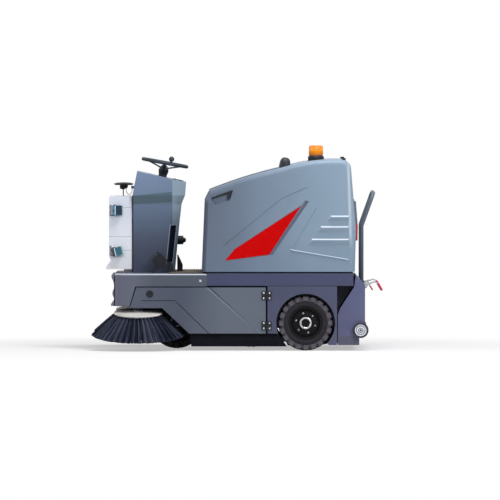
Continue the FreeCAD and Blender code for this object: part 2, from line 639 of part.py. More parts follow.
def louvre(top, bottom, left_top, left_bottom):
    """Raised vent on the hood's left side that runs back to the rear edge."""
    skin, proud, rear = BODY_HALF_WIDTH, 13.0, -818.0
    low, high = V(0, skin - 4, 0), V(0, skin + proud, 0)
    face = [(left_bottom, low.y, bottom), (rear, low.y, bottom), (rear, low.y, top + 4),
            (left_top, low.y, top + 4)]
    crest = [(left_top - 12, high.y, top - 17), (rear + 6, high.y, top - 17),
             (rear + 6, high.y, top - 9), (left_top - 8, high.y, top - 9)]
    return polygon_loft([face, crest])


def flash_recess(thickness):
    """Wedge over the flash's place and its rear border, turned so that it sinks in towards the rear."""
    points = [(88, 653), (13, 741), (-471, 1057), (-496, 1092), (-524, 1086), (-262, 695), (-238, 697)]
    start, end = sorted((BODY_HALF_WIDTH, BODY_HALF_WIDTH + thickness))
    wedge = side_prism(points, start, end)
    wedge.rotate(V(100, BODY_HALF_WIDTH, 0), Z_AXIS, 0.75)
    return wedge


def band_line():
    """Fine sunk line above the flash, up the hood's left side."""
    return side_prism([(92, 768), (-329, 1111), (-512, 1190), (-511, 1184), (-331, 1105), (94, 762)],
                      BODY_HALF_WIDTH - 2, BODY_HALF_WIDTH + 1)


def rear_crease():
    """Raised ridge low on the hood's left side, behind the flash."""
    skin = BODY_HALF_WIDTH
    base = [(-380, skin - 3, 742), (-820, skin - 3, 668), (-820, skin - 3, 648), (-392, skin - 3, 716)]
    crest = [(-396, skin + 7, 733), (-812, skin + 7, 663), (-812, skin + 7, 659), (-400, skin + 7, 729)]
    return polygon_loft([base, crest])


def panel_line():
    """Fine sunk line on the hood's left side that runs down to the ridge."""
    return side_prism([(-588, 1054), (-594, 1050), (-414, 748), (-408, 752)],
                      BODY_HALF_WIDTH - 1.5, BODY_HALF_WIDTH + 1)


def grip_pocket():
    """Finger pocket for the hood's handle, on the left."""
    return side_prism([(184, 1106), (30, 1160), (48, 1096), (160, 1062)],
                      BODY_HALF_WIDTH - 9, BODY_HALF_WIDTH + 5)


def hood_shell():
    """Moulded hood: hollow, open below, with the seat's recess, vents and side creases."""
    outer = side_prism(hood_profile(), -BODY_HALF_WIDTH, BODY_HALF_WIDTH)

    def on_side_rim(edge):
        box = edge.BoundBox
        flat = box.YMax - box.YMin < 0.1
        return flat and abs(abs(box.YMin) - BODY_HALF_WIDTH) < 0.1 and box.ZMax > HOOD_BOTTOM + 1
    outer = filleted(outer, HOOD_EDGE_RADIUS, on_side_rim)
    cavity = side_prism(hood_profile(HOOD_WALL), -BODY_HALF_WIDTH + HOOD_WALL, BODY_HALF_WIDTH - HOOD_WALL)
    cavity = cavity.cut(seat_recess(HOOD_WALL)).common(block(-900, 300, -700, 700, HOOD_BOTTOM - 1, 1500))
    sunk = [flash_recess(40), band_line(), panel_line(), grip_pocket(), grip_bar()]
    shell = outer.cut([seat_recess()] + sunk + [mirrored(cut) for cut in sunk])
    raised = [louvre(983, 943, -683, -648), louvre(906, 853, -608, -572), louvre(815, 764, -542, -505),
              rear_crease()]
    shell = shell.fuse(raised + [mirrored(r) for r in raised])
    return shell.cut(cavity).removeSplitter()


def accent_panels():
    """Red flash set into its recess on each side."""
    flash = side_prism([(84, 656), (14, 738), (-470, 1054), (-238, 700)],
                       BODY_HALF_WIDTH - 40, BODY_HALF_WIDTH + 1.2)
    return both_sides(flash.cut(flash_recess(-60)))


def grip_bar():
    """Bar over the left finger pocket: a long thin edge that thickens into a hook."""
    return side_prism([(182, 1114), (30, 1168), (28, 1160), (56, 1100), (70, 1102), (60, 1140), (180, 1104)],
                      BODY_HALF_WIDTH - 9, BODY_HALF_WIDTH + 6)


def seat_cushion():
    pad = block(SEAT_BACK_FOOT.x + 14, 205, -225, 225, SEAT_FLOOR + 0.3, SEAT_FLOOR + 112)
    return filleted(pad, 24, lambda e: True)


def seat_back():
    """Backrest that leans on the recess's sloping rear wall."""
    pad = block(-SEAT_BACK_THICKNESS, 0, -215, 215, 0, 375)
    pad = filleted(pad, 24, lambda e: True)
    pad.rotate(V(0, 0, 0), Y_AXIS, -SEAT_LEAN)
    pad.translate(SEAT_BACK_FOOT)
    return pad


def beacon_base():
    """Black foot of the warning light, cut to the hood's top."""
    foot = turned([(0, -20), (59, -20), (59, 14), (50, 26), (0, 26)], V(-581, 0, 1390), Z_AXIS)
    return foot.cut(side_prism(hood_profile(-0.2), -200, 200))


def beacon_lens():
    return turned([(0, 0), (50, 0), (53, 6), (53, 60), (46, 74), (0, 74)], V(-581, 0, 1416.2), Z_AXIS)


def tail_lamps():
    """Upright lamp on each side of the hood's rear wall."""
    bar = side_prism([(-840, 1093), (-868, 1086), (-882, 900), (-880, 801), (-840, 797)], 470, 528)
    return both_sides(bar.cut(side_prism(hood_profile(-0.2), -600, 600)))


def hood_hinge():
    """Hinges on the right: fixed leaves with their pins, and the hood's leaves."""
    fixed, moving = [], []
    for x in (60.0, -680.0):
        pin = centred_cylinder(V(x, HINGE_Y, HINGE_Z), X_AXIS, HINGE_PIN_RADIUS, 90)
        for offset in (-32.0, 32.0):
            barrel = centred_cylinder(V(x + offset, HINGE_Y, HINGE_Z), X_AXIS, HINGE_BARREL_RADIUS, 24)
            middle = x + offset
            leaf = block(middle - 12, middle + 12, HINGE_Y, -BODY_HALF_WIDTH - 0.2, SILL_TOP - 60, HINGE_Z)
            leaf = leaf.cut(block(x - 60, x + 60, HINGE_Y - 1, HINGE_Y + 3, SILL_TOP - 61, HINGE_Z - 8))
            fixed.append(joined(pin, barrel, leaf))
        barrel = ring(V(x, HINGE_Y, HINGE_Z), X_AXIS, HINGE_BARREL_RADIUS,
                      HINGE_PIN_RADIUS + RUNNING_CLEARANCE, 36)
        leaf = block(x - 18, x + 18, HINGE_Y + HINGE_BARREL_RADIUS - 4, -BODY_HALF_WIDTH - 0.2,
                     HINGE_Z, HINGE_Z + 60)
        bore = centred_cylinder(V(x, HINGE_Y, HINGE_Z), X_AXIS, HINGE_PIN_RADIUS + RUNNING_CLEARANCE, 38)
        moving.append(joined(barrel, leaf).cut(bore))
    leaves = [joined(first, second) for first, second in zip(fixed[::2], fixed[1::2])]
    return Part.makeCompound(leaves), Part.makeCompound(moving)


# ---------------------------------------------------------------- side doors
def side_door(side):
    """Side door on the left: a flat panel with a sunk line and a raised edge, cut away over the brush."""
    rear = DOOR_HINGE_X + PANEL_GAP
    panel = side_prism([(rear, 460), (731, 460), (776, 316), (774, 310), (542, 310), (346, PANEL_BOTTOM),
                        (rear, PANEL_BOTTOM)], BODY_HALF_WIDTH - PANEL_THICKNESS, BODY_HALF_WIDTH)
    line = side_prism([(690, 366), (447.2, 366), (195, PANEL_BOTTOM - 4), (202.4, PANEL_BOTTOM - 4),
                       (449.3, 361), (690, 361)], BODY_HALF_WIDTH - 3, BODY_HALF_WIDTH + 1)
    facet = polygon_loft([[(216, BODY_HALF_WIDTH + 0.01, 461), (196, BODY_HALF_WIDTH + 0.01, 461),
                           (-176, BODY_HALF_WIDTH + 0.01, 124), (-156, BODY_HALF_WIDTH + 0.01, 124)],
                          [(208, BODY_HALF_WIDTH - 5, 461), (204, BODY_HALF_WIDTH - 5, 461),
                           (-168, BODY_HALF_WIDTH - 5, 124), (-164, BODY_HALF_WIDTH - 5, 124)]])
    lock_hole = cylinder(V(632, BODY_HALF_WIDTH - PANEL_THICKNESS - 1, 413), Y_AXIS, 20.3, 60)
    return on_side(panel.cut([line, facet, lock_hole]), side)


def door_lock(side):
    """Round push lock in the door's upper front corner."""
    body = turned([(0, -18), (20, -18), (20, 0.5), (26, 0.5), (24, 5), (14, 5), (12, 2), (0, 2)],
                  V(632, BODY_HALF_WIDTH, 413), Y_AXIS)
    return on_side(body, side)


def door_hinges(side):
    """Leaves on the door, each with the middle knuckle."""
    leaves = []
    for z in DOOR_HINGE_Z:
        plate = block(DOOR_HINGE_X + 6, DOOR_HINGE_X + 6 + DOOR_LEAF,
                      BODY_HALF_WIDTH + 0.2, BODY_HALF_WIDTH + 5,
                      z - DOOR_LEAF_HALF_HEIGHT, z + DOOR_LEAF_HALF_HEIGHT)
        tongue = block(DOOR_HINGE_X, DOOR_HINGE_X + 10, BODY_HALF_WIDTH + 1.5, BODY_HALF_WIDTH + 5,
                       z - 11, z + 11)
        knuckle = centred_cylinder(V(DOOR_HINGE_X, DOOR_HINGE_Y, z), Z_AXIS, 6.5, 22)
        bore = centred_cylinder(V(DOOR_HINGE_X, DOOR_HINGE_Y, z), Z_AXIS, 3 + RUNNING_CLEARANCE, 40)
        leaves.append(joined(plate, tongue, knuckle).cut(bore))
    return on_side(Part.makeCompound(leaves), side)


def door_leaves():
    """Fixed leaves on the fenders, each with two knuckles and the pin."""
    leaves = []
    for z in DOOR_HINGE_Z:
        plate = block(DOOR_HINGE_X - 6 - DOOR_LEAF, DOOR_HINGE_X - 6,
                      BODY_HALF_WIDTH + 0.2, BODY_HALF_WIDTH + 5,
                      z - DOOR_LEAF_HALF_HEIGHT, z + DOOR_LEAF_HALF_HEIGHT)
        pieces = [plate, centred_cylinder(V(DOOR_HINGE_X, DOOR_HINGE_Y, z), Z_AXIS, 3, 60)]
        for offset in (-21.5, 21.5):
            pieces.append(centred_cylinder(V(DOOR_HINGE_X, DOOR_HINGE_Y, z + offset), Z_AXIS, 6.5, 19))
            pieces.append(block(DOOR_HINGE_X - 10, DOOR_HINGE_X, BODY_HALF_WIDTH + 1.5, BODY_HALF_WIDTH + 5,
                                z + offset - 9.5, z + offset + 9.5))
        leaves.append(joined(*pieces))
    return both_sides(Part.makeCompound(leaves))


# ---------------------------------------------------------------- side brushes
def brush_axis():
    """Unit vector up the left side brush's shaft, which leans out."""
    return V(0, math.sin(math.radians(BRUSH_TILT)), math.cos(math.radians(BRUSH_TILT)))


def brush_centre():
    return V(BRUSH_X, BRUSH_Y, BRUSH_DISC_Z)


def brush_disc(side):
    """Pale disc that holds the bristles, with a boss bored for the motor's shaft."""
    bore = 10 + RUNNING_CLEARANCE
    disc = turned([(bore, 0), (BRUSH_DISC_RADIUS - 12, 0), (BRUSH_DISC_RADIUS, 8),
                   (BRUSH_DISC_RADIUS - 6, 18), (60, BRUSH_DISC_THICKNESS), (bore, BRUSH_DISC_THICKNESS)],
                  brush_centre(), brush_axis())
    return on_side(disc, side)


def brush_bristles(side):
    """Flared ring of bristles, as one soft-sided cone."""
    drop = BRUSH_TIP_DROP
    cone = turned([(120, -0.3), (BRUSH_DISC_RADIUS - 14, -0.3), (BRUSH_DISC_RADIUS + 60, -52),
                   (BRUSH_TIP_RADIUS, -drop + 22), (BRUSH_TIP_RADIUS - 8, -drop),
                   (BRUSH_TIP_RADIUS - 60, -drop + 4), (150, -50)],
                  brush_centre(), brush_axis())
    return on_side(cone, side)


def brush_motor():
    """Left gear motor above the disc, with its shaft down through the boss."""
    centre, axis = brush_centre(), brush_axis()
    shaft = cylinder(centre - axis * 6, axis, 10, BRUSH_DISC_THICKNESS + 20)
    case = turned([(0, 34), (MOTOR_RADIUS - 4, 34), (MOTOR_RADIUS, 40), (MOTOR_RADIUS, 104),
                   (MOTOR_RADIUS - 6, 112), (0, 112)], centre, axis)
    return joined(shaft, case)


def brush_arm(side):
    """Lift arm from its pivot on the rail to a clamp round the motor."""
    pivot = BRUSH_ARM_PIVOT
    centre, axis = brush_centre(), brush_axis()
    clamp_centre = centre + axis * 70
    clamp = centred_cylinder(clamp_centre, axis, MOTOR_RADIUS + 8, 26)
    web = side_prism([(pivot.x - 16, pivot.z + 14), (pivot.x - 16, pivot.z - 16),
                      (BRUSH_X - 46, clamp_centre.z - 10), (BRUSH_X - 36, clamp_centre.z + 12)],
                     BRUSH_Y - 8, BRUSH_Y + 8)
    eye = centred_cylinder(V(pivot.x, BRUSH_Y, pivot.z), Y_AXIS, 20, 40)
    bore = centred_cylinder(V(pivot.x, BRUSH_Y, pivot.z), Y_AXIS, ARM_PIN_RADIUS + RUNNING_CLEARANCE, 100)
    return on_side(joined(clamp, web, eye, brush_motor()).cut(bore), side)


def arm_bracket():
    """Plate on the left rail's outer side, with the pin that the brush arm turns on."""
    pivot = BRUSH_ARM_PIVOT
    outer = RAIL_Y + RAIL_WIDTH / 2
    plate = side_prism([(pivot.x - 40, RAIL_TOP - 20), (pivot.x - 22, pivot.z - 20),
                        (pivot.x + 22, pivot.z - 20), (pivot.x + 40, RAIL_TOP - 20)], outer, outer + 8)
    pin = cylinder(V(pivot.x, outer + 4, pivot.z), Y_AXIS, ARM_PIN_RADIUS, BRUSH_Y + 28 - outer - 4)
    return joined(plate, pin)


# ---------------------------------------------------------------- hopper
def hopper_outline(inset=0.0):
    """Side outline of the hopper's full-width rear part."""
    i = inset
    return [(HOPPER_FRONT - 4 - i, 41 + i), (HOPPER_FRONT - 4 - i, 260), (-752 - i, 307),
            (SILL_REAR - PANEL_GAP - i, SILL_BOTTOM - PANEL_GAP - i), (-866 - i, 548 - 2 * i),
            (HOPPER_REAR + i, 478 - i), (HOPPER_REAR + i, 210), (-892 + i, 98), (-892 + i, 41 + i)]


def hopper_bin():
    """Debris hopper: a full-width rear part and a narrower tub that reaches forward to the broom."""
    half = BODY_HALF_WIDTH
    rear_part = side_prism(hopper_outline(), -half, half)
    rear_hollow = side_prism(hopper_outline(HOPPER_WALL), -half + HOPPER_WALL, half - HOPPER_WALL)
    tub_top, tub_low, tub_half = HOPPER_TUB_TOP, 60.0, HOPPER_TUB_HALF_WIDTH
    tub = side_prism([(HOPPER_FRONT - 20, tub_low), (HOPPER_TUB_FRONT, tub_low),
                      (HOPPER_TUB_FRONT, tub_top - 60), (HOPPER_TUB_FRONT - 40, tub_top),
                      (HOPPER_FRONT - 20, tub_top)], -tub_half, tub_half)
    wall = HOPPER_WALL
    hollow = side_prism([(HOPPER_FRONT - 40, tub_low + wall), (HOPPER_TUB_FRONT - wall, tub_low + wall),
                         (HOPPER_TUB_FRONT - wall, tub_low + 50), (HOPPER_TUB_FRONT + 5, tub_low + 50),
                         (HOPPER_TUB_FRONT + 5, tub_top - 60), (HOPPER_TUB_FRONT - 40, tub_top - wall),
                         (HOPPER_FRONT - 40, tub_top - wall)],
                        -tub_half + wall, tub_half - wall)
    axle = centred_cylinder(HOPPER_WHEEL, Y_AXIS, 8, 2 * (half + HOPPER_WHEEL_WIDTH + 8))
    boss = [block(-892 - 24, -892 + 10, y - 14, y + 14, 120, 215) for y in (-half + 14, half - 14)]
    runner_edge = RAIL_Y - RAIL_WIDTH / 2 - 5
    runners = block(HOPPER_FRONT - 2, HOPPER_TUB_FRONT - 50, -runner_edge, runner_edge,
                    RUNNER_Z + RUNNER_GAP, tub_top)
    return joined(rear_part, tub, runners, *boss).cut([rear_hollow, hollow]).fuse(axle).removeSplitter()


def hopper_handle():
    """Bent tube handle on the hopper's sloping top, in one piece across the back."""
    foot_x, knee_z, top_x, top_z = -912.0, 905.0, -998.0, 1144.0
    points = [V(foot_x, HANDLE_Y, 500), V(foot_x, HANDLE_Y, knee_z), V(top_x, HANDLE_Y, top_z),
              V(top_x, -HANDLE_Y, top_z), V(foot_x, -HANDLE_Y, knee_z), V(foot_x, -HANDLE_Y, 500)]
    tube = swept_tube(points, HANDLE_RADIUS, 60)
    plates = [block(foot_x - 20, foot_x + 20, y - 22, y + 22, 488, 506) for y in (-HANDLE_Y, HANDLE_Y)]
    body = side_prism(hopper_outline(-0.2), -BODY_HALF_WIDTH, BODY_HALF_WIDTH)
    return joined(tube, *plates).cut(body)


def hopper_wheel(side):
    """Small solid wheel on the hopper's axle stub."""
    half = HOPPER_WHEEL_WIDTH / 2
    bore = 8 + RUNNING_CLEARANCE
    outer, dish = HOPPER_WHEEL_RADIUS, half - 5
    wheel = turned([(bore, -half), (24, -half), (28, -dish), (38, -dish), (42, -half), (outer - 4, -half),
                    (outer, -dish), (outer, dish), (outer - 4, half), (42, half), (38, dish), (28, dish),
                    (24, half), (bore, half)],
                   V(HOPPER_WHEEL.x, BODY_HALF_WIDTH + 5 + half, HOPPER_WHEEL.z), Y_AXIS)
    return on_side(wheel, side)


def toggle_clamps():
    """The two clamps on the hopper's back: a foot, a bent link, its grip and the short release grip."""
    link = side_prism([(HOPPER_REAR - 0.2, 476), (HOPPER_REAR - 0.2, 446), (-948, 452), (-960, 474),
                       (-1006, 492), (-1030, 482), (-1034, 490), (-1006, 502), (-950, 488)], 392, 408)
    grips = []
    long_grip = (V(-1029, 400, 488), V(-1059.8, 400, 434), 9.0)
    short_grip = (V(-966, 400, 478), V(-992, 400, 436), 5.5)
    for start, end, radius in (long_grip, short_grip):
        length = (end - start).Length
        profile = [(0, 0), (radius - 2, 0), (radius, 10), (radius, length - 6), (radius - 3, length),
                   (0, length)]
        grips.append(turned(profile, start, (end - start).normalize()))
    return both_sides(joined(link, *grips))


# ---------------------------------------------------------------- the whole machine
def build():
    """Every node by name, in the machine's frame."""
    hood_leaves_fixed, hood_leaves_moving = hood_hinge()
    nodes = {
        "sill_frame": sill_frame(),
        "chassis_frame": chassis_frame(),
        "front_shell": front_shell(),
        "front_bumper": bumper(),
        "platform_deck": platform_deck(),
        "fenders": Part.makeCompound([fender(LEFT), fender(RIGHT)]),
        "rubber_skirts": skirts(),
        "battery_pack": battery(),
        "broom_housing": broom_housing(),
        "hinge_leaves": Part.makeCompound([door_leaves(), hood_leaves_fixed]),
        "steering_tower": steering_tower(),
        "instrument_panel": instrument_panel(),
        "steering_column": steering_column(),
        "pedals": Part.makeCompound([accelerator_pedal(), brake_pedal()]),
        "charge_socket": charge_socket(),
        "sensor_housing": sensor_housing(),
        "corner_cameras": camera_blocks(),
        "antenna": joined(antenna_disc(), antenna_mast()),
        "antenna_lead": antenna_lead(),
        "steering_wheel": steering_wheel(),
        "front_fork": front_fork(),
        "front_tyre": tyre(V(FRONT_AXLE_X, 0, WHEEL_RADIUS)),
        "front_rim": wheel_rim(V(FRONT_AXLE_X, 0, WHEEL_RADIUS), 1),
        "main_broom": main_broom(),
        "hood_shell": hood_shell(),
        "hood_hinges": hood_leaves_moving,
        "accent_panels": accent_panels(),
        "hood_grips": both_sides(grip_bar()),
        "seat_cushion": seat_cushion(),
        "seat_back": seat_back(),
        "beacon_base": beacon_base(),
        "beacon_lens": beacon_lens(),
        "tail_lamps": tail_lamps(),
        "hopper_bin": hopper_bin(),
        "hopper_handle": hopper_handle(),
        "toggle_clamps": toggle_clamps(),
    }
    for side, word in ((LEFT, "left"), (RIGHT, "right")):
        rear_wheel = V(REAR_AXLE_X, side * REAR_WHEEL_Y, WHEEL_RADIUS)
        nodes["rear_tyre_" + word] = tyre(rear_wheel)
        nodes["rear_rim_" + word] = wheel_rim(rear_wheel, side)
        nodes["side_door_" + word] = side_door(side)
        nodes["door_fittings_" + word] = Part.makeCompound([door_lock(side), door_hinges(side)])
        nodes["brush_arm_" + word] = brush_arm(side)
        nodes["brush_disc_" + word] = brush_disc(side)
        nodes["brush_bristles_" + word] = brush_bristles(side)
        nodes["hopper_wheel_" + word] = hopper_wheel(side)
    return nodes


def main():
    os.makedirs("parts", exist_ok=True)
    for name, shape in build().items():
        if not shape.isValid() or not shape.Solids:
            raise ValueError(name + " isn't a valid solid")
        shape.exportStep("parts/" + name + ".step")


if __name__ == "__main__":
    main()
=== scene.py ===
"""Looks of the ride-on floor sweeper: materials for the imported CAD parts, and the pieces that CAD leaves
plain (treaded tyres, brushes, seat, lenses, small fittings). Metres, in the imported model's own frame."""
import json
import math
import random

import bmesh
import bpy
from mathutils import Matrix, Vector


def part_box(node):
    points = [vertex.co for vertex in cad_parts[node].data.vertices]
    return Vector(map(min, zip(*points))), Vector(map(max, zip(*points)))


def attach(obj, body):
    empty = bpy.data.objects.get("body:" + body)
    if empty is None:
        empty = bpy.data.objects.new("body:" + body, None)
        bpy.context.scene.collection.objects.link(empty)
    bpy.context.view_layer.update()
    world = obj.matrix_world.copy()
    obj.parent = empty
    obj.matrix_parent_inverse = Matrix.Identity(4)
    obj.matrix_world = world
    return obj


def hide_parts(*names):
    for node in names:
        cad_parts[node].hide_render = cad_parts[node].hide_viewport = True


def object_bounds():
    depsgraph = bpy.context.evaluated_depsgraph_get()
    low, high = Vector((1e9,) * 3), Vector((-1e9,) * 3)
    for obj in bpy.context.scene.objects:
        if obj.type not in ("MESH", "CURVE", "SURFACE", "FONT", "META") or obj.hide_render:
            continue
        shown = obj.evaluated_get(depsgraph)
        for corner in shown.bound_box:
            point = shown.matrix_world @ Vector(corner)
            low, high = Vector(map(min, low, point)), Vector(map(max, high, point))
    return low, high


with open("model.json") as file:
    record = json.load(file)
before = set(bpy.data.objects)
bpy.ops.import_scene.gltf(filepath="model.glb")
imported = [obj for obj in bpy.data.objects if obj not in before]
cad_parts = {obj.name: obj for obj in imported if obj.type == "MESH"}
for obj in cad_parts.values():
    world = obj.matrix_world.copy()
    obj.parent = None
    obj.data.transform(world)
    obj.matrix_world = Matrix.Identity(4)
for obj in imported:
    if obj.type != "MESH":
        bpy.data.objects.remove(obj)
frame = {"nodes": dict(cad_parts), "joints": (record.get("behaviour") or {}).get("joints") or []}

NODES = frame["nodes"]
JOINTS = {joint["name"]: joint for joint in frame["joints"]}
CAD_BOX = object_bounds()
X_AXIS, Y_AXIS, Z_AXIS = Vector((1, 0, 0)), Vector((0, 1, 0)), Vector((0, 0, 1))
SIDES = (("left", 1), ("right", -1))
random.seed(11)


def box_centre(node):
    low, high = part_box(node)
    return (low + high) / 2


def rgb(red, green, blue):
    """Linear colour of an sRGB triple from 0 to 255."""
    return tuple(((c / 255 + 0.055) / 1.055) ** 2.4 for c in (red, green, blue)) + (1.0,)


# ---------------------------------------------------------------- materials
class Finish:
    """A procedural material. Its colour and roughness are built up as node sockets in frame coordinates."""

    def __init__(self, name, rough=0.5, metal=0.0, specular=0.3):
        self.material = bpy.data.materials.new(name)
        self.material.use_nodes = True
        self.tree = self.material.node_tree
        self.shader = self.tree.nodes["Principled BSDF"]
        self.shader.inputs["Metallic"].default_value = metal
        self.shader.inputs["Specular IOR Level"].default_value = specular
        self.rough = rough
        self.place = self.node("ShaderNodeTexCoord").outputs["Object"]
        split = self.node("ShaderNodeSeparateXYZ")
        self.link(self.place, split.inputs[0])
        self.x, self.y, self.z = split.outputs
        self.colour = None
        self.normal = None

    def node(self, kind, **settings):
        made = self.tree.nodes.new(kind)
        for key, value in settings.items():
            setattr(made, key, value)
        return made

    def link(self, source, target):
        if isinstance(source, (int, float, tuple)):
            target.default_value = source
        else:
            self.tree.links.new(source, target)

    def math(self, operation, first, second=0.0, third=0.0):
        made = self.node("ShaderNodeMath", operation=operation)
        for socket, value in zip(made.inputs, (first, second, third)):
            self.link(value, socket)
        return made.outputs[0]

    def times(self, *values):
        """Product of sockets and numbers."""
        product = values[0]
        for value in values[1:]:
            product = self.math("MULTIPLY", product, value)
        return product

    def slanted(self, rise):
        """X plus rise times Z, which is the same all along a leaning line."""
        return self.math("ADD", self.x, self.times(self.z, rise))

    def outward(self):
        """Distance from the middle plane."""
        return self.math("ABSOLUTE", self.y)

    def radius(self, centre):
        """Distance from the line along Y through centre."""
        across = self.math("SUBTRACT", self.x, centre.x)
        up = self.math("SUBTRACT", self.z, centre.z)
        return self.math("SQRT", self.math("ADD", self.times(across, across), self.times(up, up)))

    def ramp(self, value, low, high, to_low=0.0, to_high=1.0, smooth=True):
        """Value between low and high as a number from to_low to to_high."""
        made = self.node("ShaderNodeMapRange", interpolation_type="SMOOTHSTEP" if smooth else "LINEAR")
        for name, number in zip(("From Min", "From Max", "To Min", "To Max"), (low, high, to_low, to_high)):
            made.inputs[name].default_value = number
        self.link(value, made.inputs["Value"])
        return made.outputs["Result"]

    def band(self, value, low, high, soft=0.001):
        """1 between low and high, and 0 outside, with soft edges."""
        rise = self.ramp(value, low - soft, low + soft)
        fall = self.ramp(value, high - soft, high + soft, 1.0, 0.0)
        return self.times(rise, fall)

    def noise(self, scale, detail=4.0, stretch=(1, 1, 1)):
        """Noise from 0 to 1, with scale in features a metre."""
        mapping = self.node("ShaderNodeMapping")
        mapping.inputs["Scale"].default_value = stretch
        self.link(self.place, mapping.inputs["Vector"])
        made = self.node("ShaderNodeTexNoise")
        made.inputs["Scale"].default_value = scale
        made.inputs["Detail"].default_value = detail
        self.link(mapping.outputs[0], made.inputs["Vector"])
        return made.outputs["Fac"]

    def mix(self, factor, first, second):
        made = self.node("ShaderNodeMix", data_type="RGBA")
        self.link(factor, made.inputs[0])
        self.link(first, made.inputs[6])
        self.link(second, made.inputs[7])
        return made.outputs[2]

    def along(self, value, stops):
        """Colour that changes with a value. stops are (value, colour), from low to high."""
        low, high = stops[0][0], stops[-1][0]
        made = self.node("ShaderNodeValToRGB")
        elements = made.color_ramp.elements
        elements[0].color, elements[-1].color = stops[0][1], stops[-1][1]
        for at, colour in stops[1:-1]:
            elements.new((at - low) / (high - low)).color = colour
        self.link(self.ramp(value, low, high, smooth=False), made.inputs["Fac"])
        return made.outputs["Color"]

    def paint_over(self, mask, colour):
        self.colour = self.mix(mask, self.colour, colour)
        return self

    def mottle(self, colour, amount=0.08, scale=5.0, stretch=(1, 1, 1)):
        """Starts the colour, with soft patches that are darker and lighter by amount."""
        scaled = self.node("ShaderNodeHueSaturation")
        self.link(colour, scaled.inputs["Color"])
        self.link(self.ramp(self.noise(scale, stretch=stretch), 0.3, 0.7, 1 - amount, 1 + amount),
                  scaled.inputs["Value"])
        self.colour = scaled.outputs["Color"]
        return self

    def dust(self, colour, low, high, amount=0.5):
        """Dirt that thins out from the low height to the high one."""
        fade = self.ramp(self.z, low, high, amount, 0.0)
        patches = self.ramp(self.noise(14.0, detail=8.0), 0.35, 0.65)
        return self.paint_over(self.times(fade, patches), colour)

    def bump(self, height, depth, distance=0.001):
        made = self.node("ShaderNodeBump")
        made.inputs["Strength"].default_value = depth
        made.inputs["Distance"].default_value = distance
        self.link(height, made.inputs["Height"])
        if self.normal:
            self.link(self.normal, made.inputs["Normal"])
        self.normal = made.outputs["Normal"]
        return self

    def upward_highlight(self, colour, amount, beyond):
        """Painted highlight on the narrow faces that look up, further out than beyond from the middle."""
        facing = self.node("ShaderNodeSeparateXYZ")
        self.link(self.node("ShaderNodeTexCoord").outputs["Normal"], facing.inputs[0])
        up = self.times(self.ramp(facing.outputs["Z"], 0.25, 0.6, 0.0, amount),
                       self.ramp(facing.outputs["Z"], 0.93, 0.98, 1.0, 0.0))
        outside = self.ramp(self.outward(), beyond, beyond + 0.002)
        return self.paint_over(self.times(up, outside), colour)

    def round_edges(self, radius):
        made = self.node("ShaderNodeBevel", samples=4)
        made.inputs["Radius"].default_value = radius
        self.normal = made.outputs["Normal"]
        return self

    def done(self, wear=0.08, wear_scale=30.0):
        """Links what was built, with roughness that varies by wear."""
        self.link(self.colour, self.shader.inputs["Base Color"])
        rough = self.ramp(self.noise(wear_scale), 0.3, 0.7, self.rough - wear, self.rough + wear)
        self.link(rough, self.shader.inputs["Roughness"])
        if self.normal:
            self.link(self.normal, self.shader.inputs["Normal"])
        return self.material


DUST = rgb(120, 116, 110)


def painted(name, colour_stops, along="x", rough=0.42, edge=0.003, specular=0.25, dusty=True):
    """Satin paint with a light orange peel, whose colour drifts along one axis."""
    finish = Finish(name, rough, specular=specular)
    finish.round_edges(edge)
    finish.mottle(finish.along(getattr(finish, along), colour_stops), 0.03, 3.0)
    if dusty:
        finish.dust(DUST, 0.05, 0.45, 0.12)
    finish.bump(finish.noise(420.0, 2.0), 0.06)
    return finish


FLASH_LEAN = 0.6797                                     # run over rise of the flash's front edge
TOWER_FRONT = 0.765
SLOT_FOOT, SLOT_TOP, SLOT_LEAN = 0.636, 0.906, 0.1037   # of the slot painted dark as painted shade, in the tower's rear chamfer
SHADOW_BLUE = rgb(18, 20, 36)


def hood_paint():
    """Blue-grey that lightens to the rear and darkens low down as painted light and shade, with a painted
    shade on the front corner, a painted highlight on the pale rear edge, painted highlights on upward-facing
    edges, and a painted shade along the flash's border.
    """
    # The colour stops lighten to the rear as painted light.
    finish = painted("hood_paint", [(-0.87, rgb(130, 150, 168)), (-0.55, rgb(124, 143, 162)),
                                    (-0.15, rgb(110, 125, 144)), (0.0, rgb(100, 113, 131)),
                                    (0.26, rgb(94, 104, 122))], dusty=False)
    # Painted shade: darker low down.
    finish.paint_over(finish.ramp(finish.z, 0.56, 0.86, 0.3, 0.0), rgb(98, 116, 138))
    # Painted shade on the front corner, where the front face turns away from the light.
    corner = finish.ramp(finish.slanted(0.0417), 0.246, 0.256)
    finish.paint_over(finish.times(corner, finish.ramp(finish.z, 1.11, 1.06), 0.8), rgb(66, 72, 92))
    # Painted highlight along the rear vertical edge.
    rear_edge_highlight = finish.band(finish.slanted(-0.030), -0.862, -0.843, 0.005)
    finish.paint_over(finish.times(rear_edge_highlight, finish.band(finish.z, 0.80, 1.36, 0.06), 0.45),
                      rgb(205, 216, 226))
    # Painted highlights on the louvre tops, the crease and other upward-facing edges.
    finish.upward_highlight(rgb(216, 224, 232), 0.75, 0.5755)
    # Painted shade along the flash's border, in the recess beside it.
    border = finish.band(finish.slanted(FLASH_LEAN), 0.2125, 0.2385, 0.002)
    finish.paint_over(finish.times(border, finish.band(finish.z, 0.696, 1.088, 0.004), 0.85),
                      rgb(88, 94, 112))
    return finish.done()


